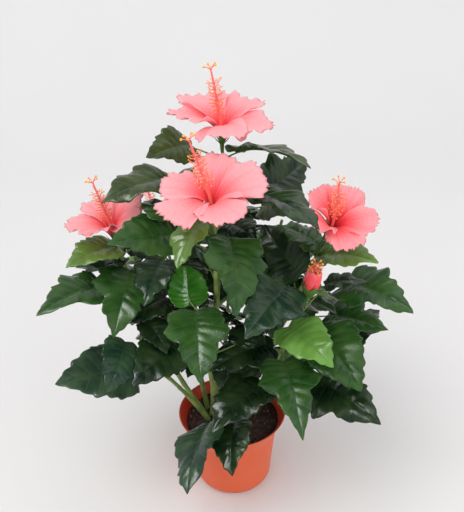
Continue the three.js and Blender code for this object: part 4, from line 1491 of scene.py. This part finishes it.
def potPiece():
    middle = pot["rimRadius"] - pot["wall"] / 2
    inside = potSide(pot["wall"])[::-1]
    aside, down = pot["lip"]
    rim = [(middle + step * aside, pot["height"] - abs(step) * down) for step in (1, 0, -1)]
    profile = [(0, 0), *potSide(0), *rim, *inside, (0, pot["floor"])]
    made, points = turned("pot_body", profile, pot["segments"])
    setPoints(made, points)
    made.data.materials.append(potFinish("pot_plastic", *pot["outside"]))
    made.data.materials.append(potFinish("pot_inside_painted_shade", *pot["inside"]))
    # The second material, a darker and redder copy of the plastic that paints the shade inside the pot, goes
    # on the wall's inside.
    aboveFloor = (pot["floor"] + 1.5) * 0.001
    for face in made.data.polygons:
        outward = face.normal.x * face.center.x + face.normal.y * face.center.y
        face.material_index = int(face.center.z > aboveFloor and outward < 0 and face.normal.z < 0.9)
    finishPiece(made, ["pot"], 35)


potPiece()


def fillFinish(name, dark, light):
    finish = Finish(name)
    grain = finish.noise(fill["grain"], 5)
    fine = finish.noise(fill["fine"], 3)
    base = finish.mix(finish.spread(grain, 0.35, 0.7), tint(*dark), tint(*light))
    normal = finish.bump(grain * 0.7 + fine * 0.3, *fill["relief"])
    return finish.shade(Base_Color=base, Roughness=fine * 0.1 + fill["roughness"], Normal=normal)


# The fill has the pot's inside for its side, and a lumpy surface. Returns how far out that reaches.
def fillPiece():
    wallTop = fill["top"] - fill["fall"]
    bottom = pot["floor"] + fill["gap"]
    inset = pot["wall"] + fill["gap"]
    side = [(x, max(y, bottom)) for x, y in potSide(inset) if y < wallTop]
    slope = (pot["rimRadius"] - pot["neckRadius"]) / (pot["height"] - pot["neckHeight"])
    edge = pot["neckRadius"] - inset + slope * (wallTop - pot["neckHeight"]) - 0.8
    surface = [(edge * (1 - step / 40), wallTop + fill["fall"] * min(1, step / 5)) for step in range(41)]
    made, points = turned("fill_body", [(0, bottom), *side, *surface], fill["segments"])
    for point in points:
        if point[2] > wallTop - 0.1:
            spot = Vector(point)
            point[2] += fill["rough"] * (noise.noise(spot / 3.5) + 0.7 * noise.noise(spot / 1.6))
    setPoints(made, points)
    made.data.materials.append(fillFinish("fill_peat", *fill["peat"]))
    finishPiece(made, ["potting_fill"], 60)
    return edge


crumbStyle = {
    "count": 420,
    "least": 0.6,
    "most": 2.0,
    "clear": 3, # of the stem's foot
    "fromWall": 2.5,
    "seed": 6151,
    "dark": ((34, 20, 15), (60, 36, 27)),
    "red": ((92, 38, 28), (132, 60, 44)),
    "pale": ((96, 70, 52), (140, 106, 80)),
}


# Crumbs of peat and bark strewn over the fill, clear of the stem's foot.
def strewCrumbs(edge):
    style = crumbStyle
    random = dice(style["seed"])
    crumbs = Heap()
    foot = np.array(mainStem["path"][0][:2])
    for _ in range(style["count"]):
        reach = (edge - style["fromWall"]) * math.sqrt(random())
        turn = 2 * math.pi * random()
        size = style["least"] + (style["most"] - style["least"]) * random() ** 2
        place = np.array([reach * math.cos(turn), reach * math.sin(turn)])
        slot = int(random() * 2.6) # the pale ones are the fewest
        if np.linalg.norm(place - foot) > mainStem["foot"] + style["clear"]:
            addBall(crumbs, np.array([*place, fill["top"] + size * 0.2]), size, slot, 3, 5)
    crumbMaterials = [fillFinish("crumb_" + name, *style[name]) for name in ("dark", "red", "pale")]
    makePiece("fill_crumbs", crumbs, crumbMaterials, ["potting_fill"], 50)


strewCrumbs(fillPiece())


# A pale sheet that lies under the pot and rises behind it, in metres.
paper = {
    "half": 4,
    "front": -3,
    "turn": 1.1, # where it begins to rise
    "radius": 0.9,
    "height": 3.2,
    "tints": ((224, 223, 222), (227, 226, 225)),
}


def paperFinish():
    finish = Finish("studio_paper")
    soft = finish.noise(3, 2)
    base = finish.mix(soft, *(tint(*colour) for colour in paper["tints"]))
    return finish.shade(Base_Color=base, Roughness=soft * 0.02 + 0.9)


bpy.ops.mesh.primitive_grid_add(x_subdivisions=4, y_subdivisions=60, size=2)
floor = bpy.context.object
floor.name = "studio_floor"
lengths = [paper["turn"] - paper["front"], paper["radius"] * math.pi / 2, paper["height"] - paper["radius"]]
for vertex in floor.data.vertices:
    gone = (vertex.co.y + 1) / 2 * sum(lengths)
    bend = min(max(gone - lengths[0], 0), lengths[1]) / paper["radius"]
    y = paper["front"] + min(gone, lengths[0]) + paper["radius"] * math.sin(bend)
    z = paper["radius"] * (1 - math.cos(bend)) + max(gone - lengths[0] - lengths[1], 0)
    vertex.co = (vertex.co.x * paper["half"], y, z)
floor.data.materials.append(paperFinish())
bpy.ops.object.shade_smooth()
floor.select_set(False)

# Soft lamps round the plant, each aimed at a height over the origin. The windows have "gloss" only:
# they show as highlights on the leaves.
lamps = {
    "key_light": {
        "place": (-1.1, -1.4, 3), "aim": 0.25, "size": 2, "power": 42, "colour": (1, 0.985, 0.97),
    },
    "fill_light": {
        "place": (1.6, -1.4, 1.4), "aim": 0.25, "size": 2, "power": 13, "colour": (1, 0.98, 0.96),
    },
    "window_left": {"place": (-1.2, -0.5, 1.8), "aim": 0.3, "size": 1.1, "power": 62, "gloss": True},
    "window_back": {"place": (0.9, 0.6, 1.8), "aim": 0.3, "size": 1.2, "power": 7, "gloss": True},
}
air = {"colour": (0.97, 0.975, 1, 1), "strength": 0.87}

for name, style in lamps.items():
    bpy.ops.object.light_add(type="AREA", location=style["place"])
    lamp = bpy.context.object
    lamp.name = name
    lamp.data.size = style["size"]
    lamp.data.energy = style["power"]
    lamp.data.color = style.get("colour", (1, 1, 1))
    lamp.visible_diffuse = not style.get("gloss", False)
    aim = Vector((0, 0, style["aim"])) - Vector(style["place"])
    lamp.rotation_euler = aim.to_track_quat("-Z", "Y").to_euler()

world = bpy.data.worlds.new("studio_air")
bpy.context.scene.world = world
world.use_nodes = True
world.node_tree.nodes["Background"].inputs["Color"].default_value = air["colour"]
world.node_tree.nodes["Background"].inputs["Strength"].default_value = air["strength"]

# The camera looks "down" by so many degrees, from a place in metres.
view = {"place": (0.0047, -0.674, 0.672), "down": 28.3, "roll": -1.5, "lens": 50}
lens = bpy.data.cameras.new("camera")
lens.lens = view["lens"]
camera = bpy.data.objects.new("camera", lens)
bpy.context.scene.collection.objects.link(camera)
tilted = Matrix.Rotation(radians(90 - view["down"]), 4, "X") @ Matrix.Rotation(radians(view["roll"]), 4, "Z")
camera.matrix_world = Matrix.Translation(view["place"]) @ tilted
bpy.context.scene.camera = camera
bpy.context.scene.view_settings.view_transform = "Standard"
